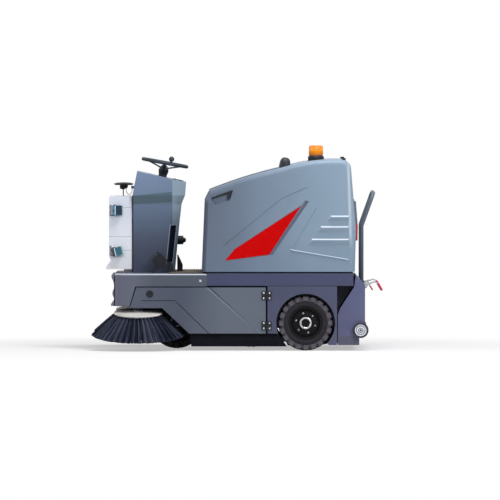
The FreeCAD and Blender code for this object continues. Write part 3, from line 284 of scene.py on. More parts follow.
def tower_paint():
    """Blue-grey that lightens upward, with a greener band of painted shade across the fold, a painted
    highlight on the rear chamfer, and the slot in it painted dark as painted shade, with a painted highlight
    round its lip.
    """
    stops = [(0.56, rgb(64, 70, 90)), (0.74, rgb(66, 74, 92)), (0.86, rgb(76, 88, 108)),
             (1.04, rgb(96, 112, 136)), (1.13, rgb(106, 124, 150)), (1.33, rgb(114, 131, 158))]
    finish = painted("tower_paint", stops, "z", dusty=False)
    # Painted shade: a greener band across the fold in the side.
    forward = finish.ramp(finish.x, 0.470, 0.476)
    rearward = finish.math("SUBTRACT", TOWER_FRONT, finish.x)
    low_edge = finish.math("SUBTRACT", finish.z, finish.times(rearward, 0.055))
    high_edge = finish.math("SUBTRACT", finish.z, finish.times(rearward, 0.10))
    finish.paint_over(finish.times(finish.ramp(low_edge, 1.059, 1.061), finish.ramp(high_edge, 1.123, 1.121),
                                   forward), rgb(80, 100, 112))
    housing_seam = finish.times(finish.ramp(finish.x, 0.7555, 0.757),
                                finish.ramp(finish.z, 1.118, 1.115))
    finish.paint_over(housing_seam, rgb(20, 24, 38))
    # Painted highlight on the rear chamfer, stronger higher up.
    rear = finish.ramp(finish.x, 0.474, 0.468)
    high_up = finish.ramp(finish.z, 0.72, 1.12, 0.25, 1.0)
    finish.paint_over(finish.times(rear, high_up), rgb(136, 154, 170))
    # Painted slot: a painted highlight round its lip, then painted shade inside.
    above_foot = finish.math("SUBTRACT", finish.z, SLOT_FOOT)
    slot = finish.math("ADD", finish.x, finish.times(above_foot, SLOT_LEAN))
    for rim, shade in ((0.004, rgb(150, 164, 184)), (0.0, rgb(14, 18, 34))):
        inside = finish.times(finish.band(slot, 0.4705 - rim, 0.513 + rim, 0.0005),
                              finish.band(finish.z, SLOT_FOOT - rim, SLOT_TOP + rim, 0.0005),
                              finish.band(finish.outward(), 0.10, 0.33, 0.0005))
        finish.paint_over(inside, shade)
    return finish.done()


def body_paint():
    stops = [(-0.94, rgb(82, 85, 116)), (-0.74, rgb(80, 83, 113)), (-0.72, rgb(72, 76, 100)),
             (0.22, rgb(66, 70, 94)), (0.24, rgb(88, 93, 110)), (0.80, rgb(100, 104, 122))]
    return painted("body_paint", stops).done()


def sill_paint():
    finish = painted("sill_paint", [(-0.85, rgb(66, 70, 98)), (0.22, rgb(64, 68, 96))], dusty=False)
    for edge, inside in ((0.472, 0.474), (0.5635, 0.5615)):
        finish.paint_over(finish.ramp(finish.z, inside, edge), SHADOW_BLUE)
    return finish.done()


def hopper_paint():
    finish = painted("hopper_paint", [(-0.94, rgb(90, 94, 126)), (-0.73, rgb(78, 81, 112))])
    finish.paint_over(finish.ramp(finish.z, 0.112, 0.098), rgb(80, 82, 100))
    return finish.done()


def door_paint():
    """Grey that darkens forward, with a pale slanting stripe that is a painted highlight on the groove's
    chamfer, and a dark sunk line that is painted shade in the groove.
    """
    finish = painted("door_paint", [(-0.22, rgb(90, 98, 112)), (0.10, rgb(92, 100, 114)),
                                    (0.40, rgb(74, 80, 96)), (0.78, rgb(84, 90, 106))])
    slant = finish.slanted(-1.1595)
    # Painted highlight where the groove's chamfer catches the light.
    stripe = finish.band(slant, -0.325, -0.307, 0.006)
    finish.paint_over(finish.times(stripe, 0.25), rgb(150, 158, 174))
    # Painted shade in the sunk groove line.
    sunk = finish.band(finish.outward(), 0.5708, 0.5742, 0.0003)
    beside = finish.ramp(finish.math("ABSOLUTE", finish.math("ADD", slant, 0.316)), 0.012, 0.016)
    finish.paint_over(finish.times(sunk, beside), rgb(34, 40, 60))
    return finish.done()


def nose_paint():
    # The stops lighten towards the front as painted light on the rounded corner.
    finish = painted("nose_paint", [(0.30, rgb(78, 84, 97)), (0.60, rgb(80, 86, 99)),
                                    (0.80, rgb(100, 104, 120)), (0.91, rgb(110, 112, 130))], rough=0.38)
    # Painted highlight on the upward-facing top edge.
    finish.upward_highlight(rgb(196, 202, 214), 0.8, 0.45)
    return finish.done()


def white_paint():
    """White with the dark seams between the housing's parts."""
    finish = painted("white_plastic", [(0.58, rgb(232, 234, 240)), (0.70, rgb(226, 230, 238)),
                                       (0.95, rgb(212, 217, 230)), (1.2, rgb(210, 217, 229))],
                     "z", 0.36, dusty=False)
    for seam in (0.723, 0.823, 1.036):
        line = finish.band(finish.z, seam - 0.001, seam + 0.001, 0.0008)
        finish.paint_over(finish.times(line, finish.ramp(finish.z, 1.118, 1.116)),
                          rgb(120, 126, 140))
    return finish.done()


def plain(name, colour, rough, specular=0.25, metal=0.0, edge=0.0015, grain=0.12, grain_scale=700.0,
          mottle=0.08):
    """Moulded plastic, rubber or metal of one colour, with a fine grain."""
    finish = Finish(name, rough, metal, specular)
    finish.round_edges(edge)
    finish.mottle(colour, mottle, 9.0)
    finish.bump(finish.noise(grain_scale, 3.0), grain)
    return finish


def turned_metal(name, colour, rough):
    """Bright metal with fine streaks."""
    finish = Finish(name, rough, 1.0, 0.5)
    finish.round_edges(0.001)
    finish.mottle(colour, 0.12, 40.0, (1, 1, 12))
    finish.bump(finish.noise(300.0, 2.0, (1, 1, 14)), 0.08)
    return finish.done(0.1)


def tyre_rubber():
    """Dark rubber with a paler band over the lugs and fine pale rings on the sidewall, both painted
    highlights.
    """
    finish = Finish("tyre_rubber", 0.78, specular=0.12)
    finish.round_edges(0.002)
    finish.mottle(rgb(26, 26, 31), 0.12, 18.0)
    radius = finish.math("MINIMUM", finish.radius(box_centre("front_tyre")),
                         finish.radius(box_centre("rear_tyre_left")))
    # Painted highlights on the sidewall's rings.
    rings = finish.math("SINE", finish.times(radius, 950.0))
    sidewall = finish.band(radius, 0.124, 0.160, 0.002)
    finish.paint_over(finish.times(sidewall, finish.ramp(rings, 0.0, 0.9, 0.0, 0.7)), rgb(84, 82, 88))
    # Painted highlight: a paler band over the lugs.
    finish.paint_over(finish.band(radius, 0.1605, 0.193, 0.002), rgb(88, 85, 92))
    finish.paint_over(finish.ramp(finish.noise(60.0, 8.0), 0.50, 0.75, 0.0, 0.35), rgb(24, 24, 28))
    finish.bump(finish.noise(500.0, 6.0), 0.25)
    return finish.done(0.08)


def seat_vinyl():
    finish = Finish("seat_vinyl", 0.5, specular=0.4)
    finish.mottle(rgb(28, 31, 42), 0.1, 12.0)
    cells = finish.node("ShaderNodeTexVoronoi", feature="DISTANCE_TO_EDGE")
    cells.inputs["Scale"].default_value = 420.0
    finish.link(finish.place, cells.inputs["Vector"])
    finish.bump(finish.ramp(cells.outputs["Distance"], 0.0, 0.25), 0.35, 0.0006)
    return finish.done(0.09)


def wheel_rings():
    """Grey and white rings about the hopper wheel's hub, in black rubber."""
    finish = Finish("wheel_grey", 0.45, specular=0.3)
    radius = finish.radius(box_centre("hopper_wheel_left"))
    finish.mottle(rgb(44, 46, 58), 0.1, 20.0)
    for inner, outer, shade in ((0.0, 0.042, rgb(214, 216, 222)), (0.029, 0.034, rgb(74, 76, 90)),
                                (0.013, 0.020, rgb(110, 112, 122))):
        finish.paint_over(finish.band(radius, inner, outer), shade)
    finish.bump(finish.noise(500.0), 0.1)
    return finish.done()


def lamp_red():
    """Ribbed lamp with a red lower half and a smoked upper one."""
    finish = Finish("lamp_red", 0.18, specular=0.5)
    finish.round_edges(0.002)
    stops = [(0.79, rgb(150, 10, 22)), (0.915, rgb(170, 8, 20)), (0.925, rgb(96, 100, 116)),
             (1.09, rgb(96, 100, 116))]
    finish.mottle(finish.along(finish.z, stops), 0.05, 20.0)
    ribs = finish.math("SINE", finish.times(finish.z, 700.0))
    finish.bump(ribs, 0.3)
    return finish.done(0.05)


def clamp_steel():
    """Bright steel with red grips on both levers of each clamp."""
    finish = plain("clamp_steel", rgb(186, 192, 194), 0.35, 0.5, 0.7)
    long_grip = finish.ramp(finish.x, -1.0275, -1.0285)
    short_grip = finish.ramp(finish.math("SUBTRACT", finish.z, finish.x), 1.4445, 1.4435)
    short_grip = finish.times(short_grip, finish.ramp(finish.x, -0.9665, -0.9675))
    finish.paint_over(finish.math("MAXIMUM", long_grip, short_grip), rgb(196, 48, 84))
    return finish.done()


CAMERA_TURN, CAMERA_HALF, CAMERA_Y = math.radians(25.0), 0.028, 0.232
CAMERAS = ((0.876, 1.016, 0.0), (0.878, 0.715, math.radians(14)))    # x, z and downward pitch of each


def camera_window():
    """Smoked block with blue windows on its front and outer faces, and a pale strip between them. The blues
    are painted light and shade: each face gets the lighter blue where it faced the light and the darker one
    where it lay in shade.
    """
    finish = Finish("camera_blue", 0.14, specular=0.5)
    finish.round_edges(0.002)
    sideways = finish.math("SUBTRACT", finish.outward(), CAMERA_Y)
    finish.mottle(rgb(20, 44, 66), 0.12, 30.0)
    # Painted light and shade: each face's blue is set by how that face was lit.
    for (x, height, pitch), front_blue, side_blue in zip(CAMERAS, (rgb(44, 138, 176), rgb(34, 44, 72)),
                                                         (rgb(18, 46, 68), rgb(24, 92, 110))):
        along = finish.math("SUBTRACT", finish.x, x)
        above = finish.math("SUBTRACT", finish.z, height)
        level = finish.math("ADD", finish.times(along, math.cos(pitch)),
                            finish.times(above, -math.sin(pitch)))
        ahead = finish.math("ADD", finish.times(level, math.cos(CAMERA_TURN)),
                            finish.times(sideways, math.sin(CAMERA_TURN)))
        outward = finish.math("ADD", finish.times(level, -math.sin(CAMERA_TURN)),
                              finish.times(sideways, math.cos(CAMERA_TURN)))
        near = finish.band(above, -0.06, 0.06)
        finish.paint_over(finish.times(near, finish.ramp(outward, 0.0262, 0.0268)), side_blue)
        finish.paint_over(finish.times(near, finish.ramp(ahead, 0.0262, 0.0268)), front_blue)
        corner = finish.times(finish.ramp(outward, 0.0225, 0.0232), finish.ramp(ahead, 0.0225, 0.0232))
        finish.paint_over(finish.times(near, corner), rgb(196, 216, 228))
    return finish.done(0.04)


def lens_amber():
    finish = Finish("lens_amber", 0.16, specular=0.5)
    finish.mottle(finish.along(finish.z, [(1.415, rgb(214, 120, 10)), (1.45, rgb(250, 168, 20)),
                                                  (1.49, rgb(236, 140, 14))]), 0.05, 20.0)
    finish.shader.inputs["Transmission Weight"].default_value = 0.35
    finish.shader.inputs["Emission Color"].default_value = rgb(245, 150, 10)
    finish.shader.inputs["Emission Strength"].default_value = 0.12
    return finish.done(0.04)


def bristle_nylon():
    """Filaments that are dark with paler strands among them, and a paler stripe on each tuft as a painted
    highlight on its pleats.
    """
    finish = Finish("bristle_nylon", 0.6, specular=0.15)
    strands = finish.noise(160.0, 2.0, (1, 1, 0.1))
    finish.mottle(rgb(22, 25, 42), 0.25, 60.0)
    finish.paint_over(finish.ramp(strands, 0.52, 0.66, 0.0, 0.6), rgb(56, 62, 84))
    hub = Vector(JOINTS["side_brush_left_spin"]["pos_m"])
    sideways = finish.math("SUBTRACT", finish.outward(), hub.y)
    angle = finish.math("ARCTAN2", sideways, finish.math("SUBTRACT", finish.x, hub.x))
    # Painted highlight: a paler stripe on each tuft, for the light on its pleats.
    pleats = finish.math("SINE", finish.times(angle, 40.0))
    finish.paint_over(finish.ramp(pleats, -0.1, 0.8, 0.0, 0.85), rgb(70, 77, 98))
    finish.bump(finish.noise(900.0), 0.2)
    return finish.done()


def platform_rubber():
    """Brown-grey mat, paler on top of its ribs."""
    finish = plain("platform_mat", rgb(66, 61, 58), 0.7, 0.2, grain=0.3, grain_scale=260.0, mottle=0.14)
    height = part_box("platform_deck")[1].z
    rib_tops = finish.ramp(finish.z, height + 0.001, height + 0.0025, 0.0, 0.8)
    finish.paint_over(rib_tops, rgb(150, 132, 108))
    return finish.done()


BLACK = plain("black_plastic", rgb(30, 32, 38), 0.5).done()
CHASSIS = plain("chassis_black", rgb(35, 41, 58), 0.5, mottle=0.12).done()
RUBBER = plain("skirt_rubber", rgb(17, 19, 26), 0.8, 0.1, grain=0.3).done()
RIM = plain("rim_steel", rgb(8, 8, 9), 0.42, 0.15).done()
STEEL = turned_metal("zinc_steel", rgb(184, 187, 192), 0.3)
TYRE = tyre_rubber()
BRISTLE = bristle_nylon()
VINYL = seat_vinyl()
AMBER = lens_amber()
HOOD = hood_paint()
MAT = platform_rubber()
GRIP = plain("grip_black", rgb(50, 60, 69), 0.55, grain=0.3, grain_scale=350.0).done()
RED = painted("accent_red", [(-0.47, rgb(188, 2, 4)), (0.09, rgb(196, 2, 3))], rough=0.3, specular=0.06,
              dusty=False).done()
DISC = plain("disc_plastic", rgb(198, 196, 192), 0.5).done()
WHITE_HUB = plain("white_hub", rgb(206, 208, 212), 0.4).done()
# The camera bracket is a real plate, and its greyed white is painted shade cast by the camera.
SHADED_BRACKET = plain("bracket_white", rgb(180, 198, 206), 0.4).done()
GLASS = plain("lens_glass", rgb(12, 16, 24), 0.06, 0.5, grain=0.0).done(0.02)

CAD_LOOKS = {
    "sill_frame": sill_paint(), "chassis_frame": CHASSIS, "front_shell": nose_paint(),
    "front_bumper": painted("bumper_paint", [(0.88, rgb(104, 108, 126)), (0.93, rgb(98, 102, 120))]).done(),
    "platform_deck": MAT, "fenders": body_paint(), "rubber_skirts": RUBBER,
    "battery_pack": plain("battery_case", rgb(52, 54, 60), 0.6).done(), "broom_housing": CHASSIS,
    "hinge_leaves": BLACK, "steering_tower": tower_paint(), "instrument_panel": BLACK,
    "steering_column": BLACK, "pedals": BLACK, "charge_socket": BLACK, "sensor_housing": white_paint(),
    "corner_cameras": camera_window(),
    "antenna": BLACK, "steering_wheel": GRIP, "front_fork": CHASSIS, "front_rim": RIM,
    "hood_shell": HOOD, "hood_hinges": STEEL, "accent_panels": RED, "hood_grips": BLACK, "beacon_base": BLACK,
    "tail_lamps": lamp_red(), "hopper_bin": hopper_paint(),
    "hopper_handle": painted("handle_paint", [(0.5, rgb(66, 74, 88)), (1.15, rgb(96, 104, 116))], "z").done(),
    "toggle_clamps": clamp_steel(),
    "brush_disc_left": DISC, "brush_disc_right": DISC,
}
DOOR, WHEEL_RINGS = door_paint(), wheel_rings()
for word, _ in SIDES:
    CAD_LOOKS["rear_rim_" + word] = RIM
    CAD_LOOKS["side_door_" + word] = DOOR
    CAD_LOOKS["door_fittings_" + word] = BLACK
    CAD_LOOKS["brush_arm_" + word] = CHASSIS
    CAD_LOOKS["hopper_wheel_" + word] = WHEEL_RINGS
for node_name, material in CAD_LOOKS.items():
    for material_slot in NODES[node_name].material_slots:
        material_slot.material = material


# ---------------------------------------------------------------- mesh helpers
def add_object(name, data):
    made = bpy.data.objects.new(name, data)
    bpy.context.scene.collection.objects.link(made)
    return made


def circle_point(radius, angle, height=0.0):
    """Point on a circle round Z."""
    return Vector((radius * math.cos(angle), radius * math.sin(angle), height))


def wheel_point(radius, angle, across=0.0):
    """Point on a circle round Y."""
    return Vector((radius * math.cos(angle), across, radius * math.sin(angle)))


class Shape:
    """A mesh under construction, in frame coordinates."""

    def __init__(self):
        self.bm = bmesh.new()

    def lathe(self, profile, centre, axis, steps=48, flutes=None):
        """Turns a closed (radius, height) profile about an axis. flutes(angle) scales the radius."""
        turn = Z_AXIS.rotation_difference(Vector(axis)).to_matrix()
        rings = []
        for step in range(steps):
            angle = 2 * math.pi * step / steps
            grow = flutes(angle) if flutes else 1.0
            around = circle_point(1, angle) * grow
            rings.append([self.bm.verts.new(Vector(centre) + turn @ (around * r + Z_AXIS * h))
                          for r, h in profile])
        for one, two in zip(rings, rings[1:] + rings[:1]):
            for j in range(len(profile)):
                k = (j + 1) % len(profile)
                self.bm.faces.new((one[j], two[j], two[k], one[k]))
        return self

    def hull(self, points):
        """Convex piece round the points."""
        verts = [self.bm.verts.new(p) for p in points]
        made = bmesh.ops.convex_hull(self.bm, input=verts)
        spare = [v for v in made["geom_interior"] + made["geom_unused"] if isinstance(v, bmesh.types.BMVert)]
        bmesh.ops.delete(self.bm, geom=spare, context="VERTS")
        return self

    def strand(self, path, radii, sides=3):
        """Thin bar along a path that tapers."""
        rings = []
        for index, (point, radius) in enumerate(zip(path, radii)):
            ahead = path[min(index + 1, len(path) - 1)] - path[max(index - 1, 0)]
            turn = Z_AXIS.rotation_difference(ahead).to_matrix()
            rings.append([self.bm.verts.new(point + turn @ circle_point(radius, 2 * math.pi * k / sides))
                          for k in range(sides)])
        for one, two in zip(rings, rings[1:]):
            for k in range(sides):
                n = (k + 1) % sides
                self.bm.faces.new((one[k], one[n], two[n], two[k]))
        self.bm.faces.new(rings[0][::-1])
        self.bm.faces.new(rings[-1])
        return self

    def piece(self, name, body, slot, material, smooth=True, bevel=0.0, weld=1e-6):
        """The finished object, riding on its body."""
        bmesh.ops.remove_doubles(self.bm, verts=self.bm.verts, dist=weld)
        bmesh.ops.recalc_face_normals(self.bm, faces=self.bm.faces)
        mesh = bpy.data.meshes.new(name)
        self.bm.to_mesh(mesh)
        self.bm.free()
        made = add_object(name, mesh)
        mesh.materials.append(material)
        if smooth:
            mesh.polygons.foreach_set("use_smooth", [True] * len(mesh.polygons))
            mesh.set_sharp_from_angle(angle=math.radians(35))
        if bevel:
            edge = made.modifiers.new("edge", "BEVEL")
            edge.width, edge.segments, edge.limit_method = bevel, 2, "ANGLE"
            edge.angle_limit = math.radians(35)
        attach(made, body)
        return made


def dome_bolt(shape, centre, axis, radius, height):
    """Domed head on a thin washer."""
    shape.lathe([(0, 0), (radius * 1.25, 0), (radius * 1.25, height * 0.25), (radius, height * 0.3),
                 (radius * 0.9, height * 0.7), (radius * 0.55, height), (0, height)], centre, axis, 20)


# ---------------------------------------------------------------- wheels
TREAD_RADIUS, TREAD_LUGS = 0.1995, 20
LUG_SHOULDER, LUG_SKEW = 0.044, 0.22        # where a lug turns down, and how far it slants, in pitches
NUT_CIRCLE, HOLE_CIRCLE = 0.072, 0.090


def tyre(node, rim, body):
    """Tyre with ringed sidewalls and staggered lugs that wrap over both shoulders."""
    low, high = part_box(node)
    centre, half = (low + high) / 2, (high.y - low.y) / 2
    bead = (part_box(rim)[1].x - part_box(rim)[0].x) / 2
    side = [(bead, half - 0.008), (bead + 0.002, half - 0.004), (0.124, half - 0.003), (0.126, half - 0.006),
            (0.129, half - 0.002), (0.134, half), (0.137, half - 0.004), (0.140, half - 0.0006),
            (0.145, half - 0.0006), (0.148, half - 0.005), (0.152, half - 0.002), (0.157, half - 0.004),
            (0.165, half - 0.009), (0.184, half - 0.015), (0.187, half - 0.024)]
    profile = side + [(r, -h) for r, h in reversed(side)]
    shape = Shape().lathe(profile, centre, Y_AXIS, 96)
    pitch = 2 * math.pi / TREAD_LUGS
    for mirror, stagger in ((1, 0.0), (-1, 0.5)):
        for index in range(TREAD_LUGS):
            middle = (index + stagger) * pitch
            outline = [(TREAD_RADIUS, 0.002, 0.30), (TREAD_RADIUS, LUG_SHOULDER, 0.30),
                       (0.1925, half - 0.0006, 0.29), (0.163, half - 0.0004, 0.31),
                       (0.160, half - 0.008, 0.31), (0.180, 0.002, 0.30)]     # radius, across, share of pitch
            points = []
            for radius, across, width in outline:
                skew = (LUG_SHOULDER - across) / (LUG_SHOULDER - 0.002) * LUG_SKEW * pitch
                for edge in (-1, 1):
                    angle = middle + skew + edge * width * pitch
                    points.append(centre + wheel_point(radius, angle, mirror * across))
            shape.hull(points)
    made = shape.piece(node + "_tread", body, "tyre_rubber", TYRE)
    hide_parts(node)


def hub_fittings(rim, body, outward):
    """Silver hub ring, cap and wheel nuts on a rim's dished face."""
    centre = box_centre(rim)
    axis = Y_AXIS * outward
    face = (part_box(rim)[1].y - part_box(rim)[0].y) / 2
    ring = Shape()
    ring.lathe([(0.031, 0.036), (0.043, 0.036), (0.0435, 0.0425), (0.040, 0.0445), (0.034, 0.0445),
                (0.031, 0.042)], centre, axis, 64)
    for index in range(6):
        angle = 2 * math.pi * (index + 0.25) / 6
        across = wheel_point(1, angle)
        dome_bolt(ring, centre + across * NUT_CIRCLE + axis * 0.0135, axis, 0.0055, 0.008)
    ring.piece(rim + "_hub_ring", body, "zinc_steel", STEEL)
    cap = Shape()
    cap.lathe([(0, 0.034), (0.031, 0.034), (0.031, 0.041), (0.024, 0.0425), (0.021, 0.040), (0.012, 0.040),
               (0.010, face - 0.0005), (0, face - 0.0005)], centre, axis, 48)
    for index in range(8):
        angle = 2 * math.pi * index / 8
        across = wheel_point(1, angle)
        cap.lathe([(0.0062, 0.0), (0.0105, 0.0), (0.0105, 0.0035), (0.0062, 0.0035)],
                  centre + across * HOLE_CIRCLE + axis * 0.0105, axis, 16)
    cap.piece(rim + "_hub_cap", body, "rim_steel", RIM)


tyre("front_tyre", "front_rim", "front_wheel")
hub_fittings("front_rim", "front_wheel", 1)
for word, side in SIDES:
    tyre("rear_tyre_" + word, "rear_rim_" + word, "rear_wheel_" + word)
    hub_fittings("rear_rim_" + word, "rear_wheel_" + word, side)


# ---------------------------------------------------------------- brushes
TUFTS, STRANDS_PER_TUFT = 40, 58


def quadratic(a, b, c, t):
    return a * (1 - t) ** 2 + b * 2 * t * (1 - t) + c * t ** 2


def side_brush(word, side):
    """Flared ring of tufts that bend outward to the tips."""
    joint = JOINTS["side_brush_" + word + "_spin"]
    centre, axis = Vector(joint["pos_m"]), Vector(joint["axis"])
    turn = Z_AXIS.rotation_difference(axis).to_matrix()
    shape = Shape()
    for tuft in range(TUFTS):
        for _ in range(STRANDS_PER_TUFT):
            depth, sideways = random.random(), random.uniform(-1, 1)
            root = 0.126 + 0.036 * depth
            bend = (0.150 + 0.080 * depth, -0.080 + 0.036 * depth)
            tip = (0.302 + 0.041 * depth - random.uniform(0, 0.012), -0.166 + 0.016 * depth)
            start = 2 * math.pi * (tuft + 0.26 * sideways) / TUFTS
            end = 2 * math.pi * (tuft + 0.62 * sideways + random.uniform(-0.12, 0.12)) / TUFTS
            path = []
            for step in range(7):
                t = step / 6
                radius, height = quadratic(root, bend[0], tip[0], t), quadratic(0.002, bend[1], tip[1], t)
                angle = start + (end - start) * t
                path.append(centre + turn @ circle_point(radius, angle, height))
            shape.strand(path, [0.0027 - 0.0003 * k / 6 for k in range(7)])
    made = shape.piece("side_brush_tufts_" + word, "side_brush_" + word, "bristle_nylon", BRISTLE, weld=1e-7)
    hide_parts("brush_bristles_" + word)
    holder = Shape()
    for tuft in range(TUFTS):
        angle = 2 * math.pi * tuft / TUFTS
        for radius in (0.134, 0.154):
            around = turn @ circle_point(radius, angle)
            holder.lathe([(0.0, -0.0025), (0.0085, -0.0025), (0.0095, 0.0005), (0.0, 0.0005)],
                         centre + around, axis, 12)
    holder.piece("tuft_collars_" + word, "side_brush_" + word, "disc_plastic", DISC)
    cap = Shape()
    hub_top = 0.0262
    cap.lathe([(0.0125, hub_top), (0.030, hub_top), (0.034, hub_top - 0.001), (0.034, hub_top + 0.003),
               (0.030, hub_top + 0.005), (0.0125, hub_top + 0.005)], centre, axis, 40)
    cap.piece("brush_collar_" + word, "side_brush_" + word, "disc_plastic", WHITE_HUB)


for word, side in SIDES:
    side_brush(word, side)


def main_broom():
    """Core with helical rows of bristle tufts."""
    low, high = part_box("main_broom")
    centre = (low + high) / 2
    radius, half = (high.z - low.z) / 2, (high.y - low.y) / 2 - 0.016
    core = Shape()
    core.lathe([(0.0, -half - 0.016), (0.018, -half - 0.016), (0.018, -half), (0.062, -half), (0.062, half),
                (0.018, half), (0.018, half + 0.016), (0.0, half + 0.016)], centre, Y_AXIS, 48)
    core_piece = core.piece("broom_core", "main_broom", "bristle_nylon", CHASSIS)
    tufts = Shape()
    rows, steps = 12, 56
    for row in range(rows):
        for step in range(steps):
            along = -half + 0.006 + (2 * half - 0.012) * step / (steps - 1)
            base = 2 * math.pi * (row / rows + 0.32 * step / steps)
            for _ in range(5):
                angle = base + random.uniform(-0.035, 0.035)
                tip = angle + random.uniform(-0.05, 0.05)
                y = along + random.uniform(-0.004, 0.004)
                y_tip = min(max(y + random.uniform(-0.006, 0.006), -half), half)
                reach = radius - 0.001 - random.uniform(0, 0.004)
                start = centre + wheel_point(0.060, angle, y)
                end = centre + wheel_point(reach, tip, y_tip)
                tufts.strand([start, (start + end) / 2, end], [0.0018, 0.0015, 0.0011])
    made = tufts.piece("broom_tufts", "main_broom", "bristle_nylon", BRISTLE, weld=1e-7)
    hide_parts("main_broom")
    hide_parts("main_broom")


main_broom()


# ---------------------------------------------------------------- seat
PAD_GRID, PAD_CORNER = 0.012, 0.030
SEAM_DEPTH, SEAM_WIDTH = 0.010, 0.007


def pillow(name, low, high, place, channels, crown):
    """Padded block from low to high, crowned on top, with sewn channels across it, moved by place."""
    size = [high[i] - low[i] for i in range(3)]
    steps = [max(2, round(s / PAD_GRID)) for s in size]
    points, faces = {}, []

    def vert(i, j, k):
        return points.setdefault((i, j, k), len(points))
    nx, ny, nz = steps
    for i in range(nx):
        for j in range(ny):
            faces.append((vert(i, j, 0), vert(i, j + 1, 0), vert(i + 1, j + 1, 0), vert(i + 1, j, 0)))
            faces.append((vert(i, j, nz), vert(i + 1, j, nz), vert(i + 1, j + 1, nz), vert(i, j + 1, nz)))
    for i in range(nx):
        for k in range(nz):
            faces.append((vert(i, 0, k), vert(i + 1, 0, k), vert(i + 1, 0, k + 1), vert(i, 0, k + 1)))
            faces.append((vert(i, ny, k), vert(i, ny, k + 1), vert(i + 1, ny, k + 1), vert(i + 1, ny, k)))
    for j in range(ny):
        for k in range(nz):
            faces.append((vert(0, j, k), vert(0, j, k + 1), vert(0, j + 1, k + 1), vert(0, j + 1, k)))
            faces.append((vert(nx, j, k), vert(nx, j + 1, k), vert(nx, j + 1, k + 1), vert(nx, j, k + 1)))
    coords = []
    for i, j, k in points:
        unit = Vector((2 * i / nx - 1, 2 * j / ny - 1, 2 * k / nz - 1))
        half = Vector(size) / 2
        cube = Vector([u * h for u, h in zip(unit, half)])
        core = Vector([max(PAD_CORNER - h, min(h - PAD_CORNER, c)) for c, h in zip(cube, half)])
        away = cube - core
        if away.length > 1e-9:
            away = away.normalized() * PAD_CORNER
        point = core + away
        swell = (1 - unit.x ** 2) * (1 - unit.y ** 2)
        pull = 1 - 0.035 * unit.x ** 2 * unit.y ** 2
        if unit.z > 0:
            point.z += crown * (2 * swell - 1) * unit.z
            for at in channels:
                away_from = abs(unit.x - at) * half.x
                fade = max(0.0, 1 - (abs(unit.y) / 0.82) ** 6)
                point.z -= SEAM_DEPTH * math.exp(-(away_from / SEAM_WIDTH) ** 2) * fade * unit.z
        point.y *= pull
        coords.append(place @ (point + (Vector(low) + Vector(high)) / 2))
    mesh = bpy.data.meshes.new(name)
    mesh.from_pydata(coords, [], faces)
    mesh.polygons.foreach_set("use_smooth", [True] * len(mesh.polygons))
    mesh.materials.append(VINYL)
    made = add_object(name, mesh)
    smooth = made.modifiers.new("smooth", "SUBSURF")
    smooth.levels = smooth.render_levels = 1
    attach(made, "hood")
    return made


seat_low, seat_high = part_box("seat_cushion")
cushion = pillow("seat_cushion_pad", seat_low, seat_high - Vector((0, 0, 0.008)), Matrix.Identity(4),
                 (-0.45, 0.0, 0.45), 0.008)
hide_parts("seat_cushion")
back_low, back_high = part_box("seat_back")
SEAT_LEAN = math.radians(8.0)
BACK_THICKNESS, BACK_HEIGHT = 0.084, 0.375
back_foot = Vector((back_high.x, 0, back_low.z + BACK_THICKNESS * math.sin(SEAT_LEAN)))
upright = Matrix.Rotation(math.radians(90), 4, "Y")
lean = Matrix.Translation(back_foot) @ Matrix.Rotation(-SEAT_LEAN, 4, "Y") @ upright
backrest = pillow("seat_back_pad", Vector((-BACK_HEIGHT, back_low.y, -BACK_THICKNESS)),
                  Vector((0, back_high.y, -0.006)), lean, (-0.5, 0.0, 0.5), 0.006)
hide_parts("seat_back")


# ---------------------------------------------------------------- beacon
def beacon():
    """Fluted amber lens over a lamp core."""
    low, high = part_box("beacon_lens")
    centre = Vector(((low.x + high.x) / 2, 0, low.z))
    radius, tall = (high.x - low.x) / 2, high.z - low.z
    wall = 0.004
    lens = Shape()
    profile = [(radius - 0.004, 0.0), (radius - 0.001, 0.006), (radius - 0.001, tall - 0.016),
               (radius - 0.005, tall - 0.005), (radius - 0.012, tall - 0.001), (0.0, tall),
               (0.0, tall - wall), (radius - 0.014, tall - wall), (radius - 0.005 - wall, tall - 0.017),
               (radius - 0.001 - wall, 0.006), (radius - 0.004 - wall, 0.0)]
    lens.lathe(profile, centre, Z_AXIS, 144, lambda a: 1 + 0.010 * math.cos(24 * a))
    made = lens.piece("beacon_lens_fluted", "hood", "lens_amber", AMBER)
    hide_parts("beacon_lens")
    core = Shape()
    core.lathe([(0, 0.0005), (0.030, 0.0005), (0.030, 0.010), (0.016, 0.016), (0.014, 0.050), (0.0, 0.056)],
               centre, Z_AXIS, 32)
    core.piece("beacon_lamp", "hood", "white_plastic", WHITE_HUB)


beacon()


# ---------------------------------------------------------------- antenna lead
LEAD_ROUTE = [(0.812, 0, 1.172), (0.812, 0, 1.149), (0.797, 0, 1.129), (0.783, 0, 1.128), (0.768, 0, 1.149),
              (0.768, 0, 1.172)]


def antenna_lead():
    """Limp lead that hangs in a loop between the antenna's gland and the tower's elbow."""
    curve = bpy.data.curves.new("antenna_lead_cord", "CURVE")
    curve.dimensions = "3D"
    curve.bevel_depth = 0.002
    curve.bevel_resolution = 3
    spline = curve.splines.new("NURBS")
    spline.points.add(len(LEAD_ROUTE) - 1)
    for point, place in zip(spline.points, LEAD_ROUTE):
        point.co = (*place, 1.0)
    spline.order_u = 3
    spline.use_endpoint_u = True
    curve.materials.append(BLACK)
    made = add_object("antenna_lead_cord", curve)
    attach(made, "chassis")
    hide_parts("antenna_lead")


antenna_lead()


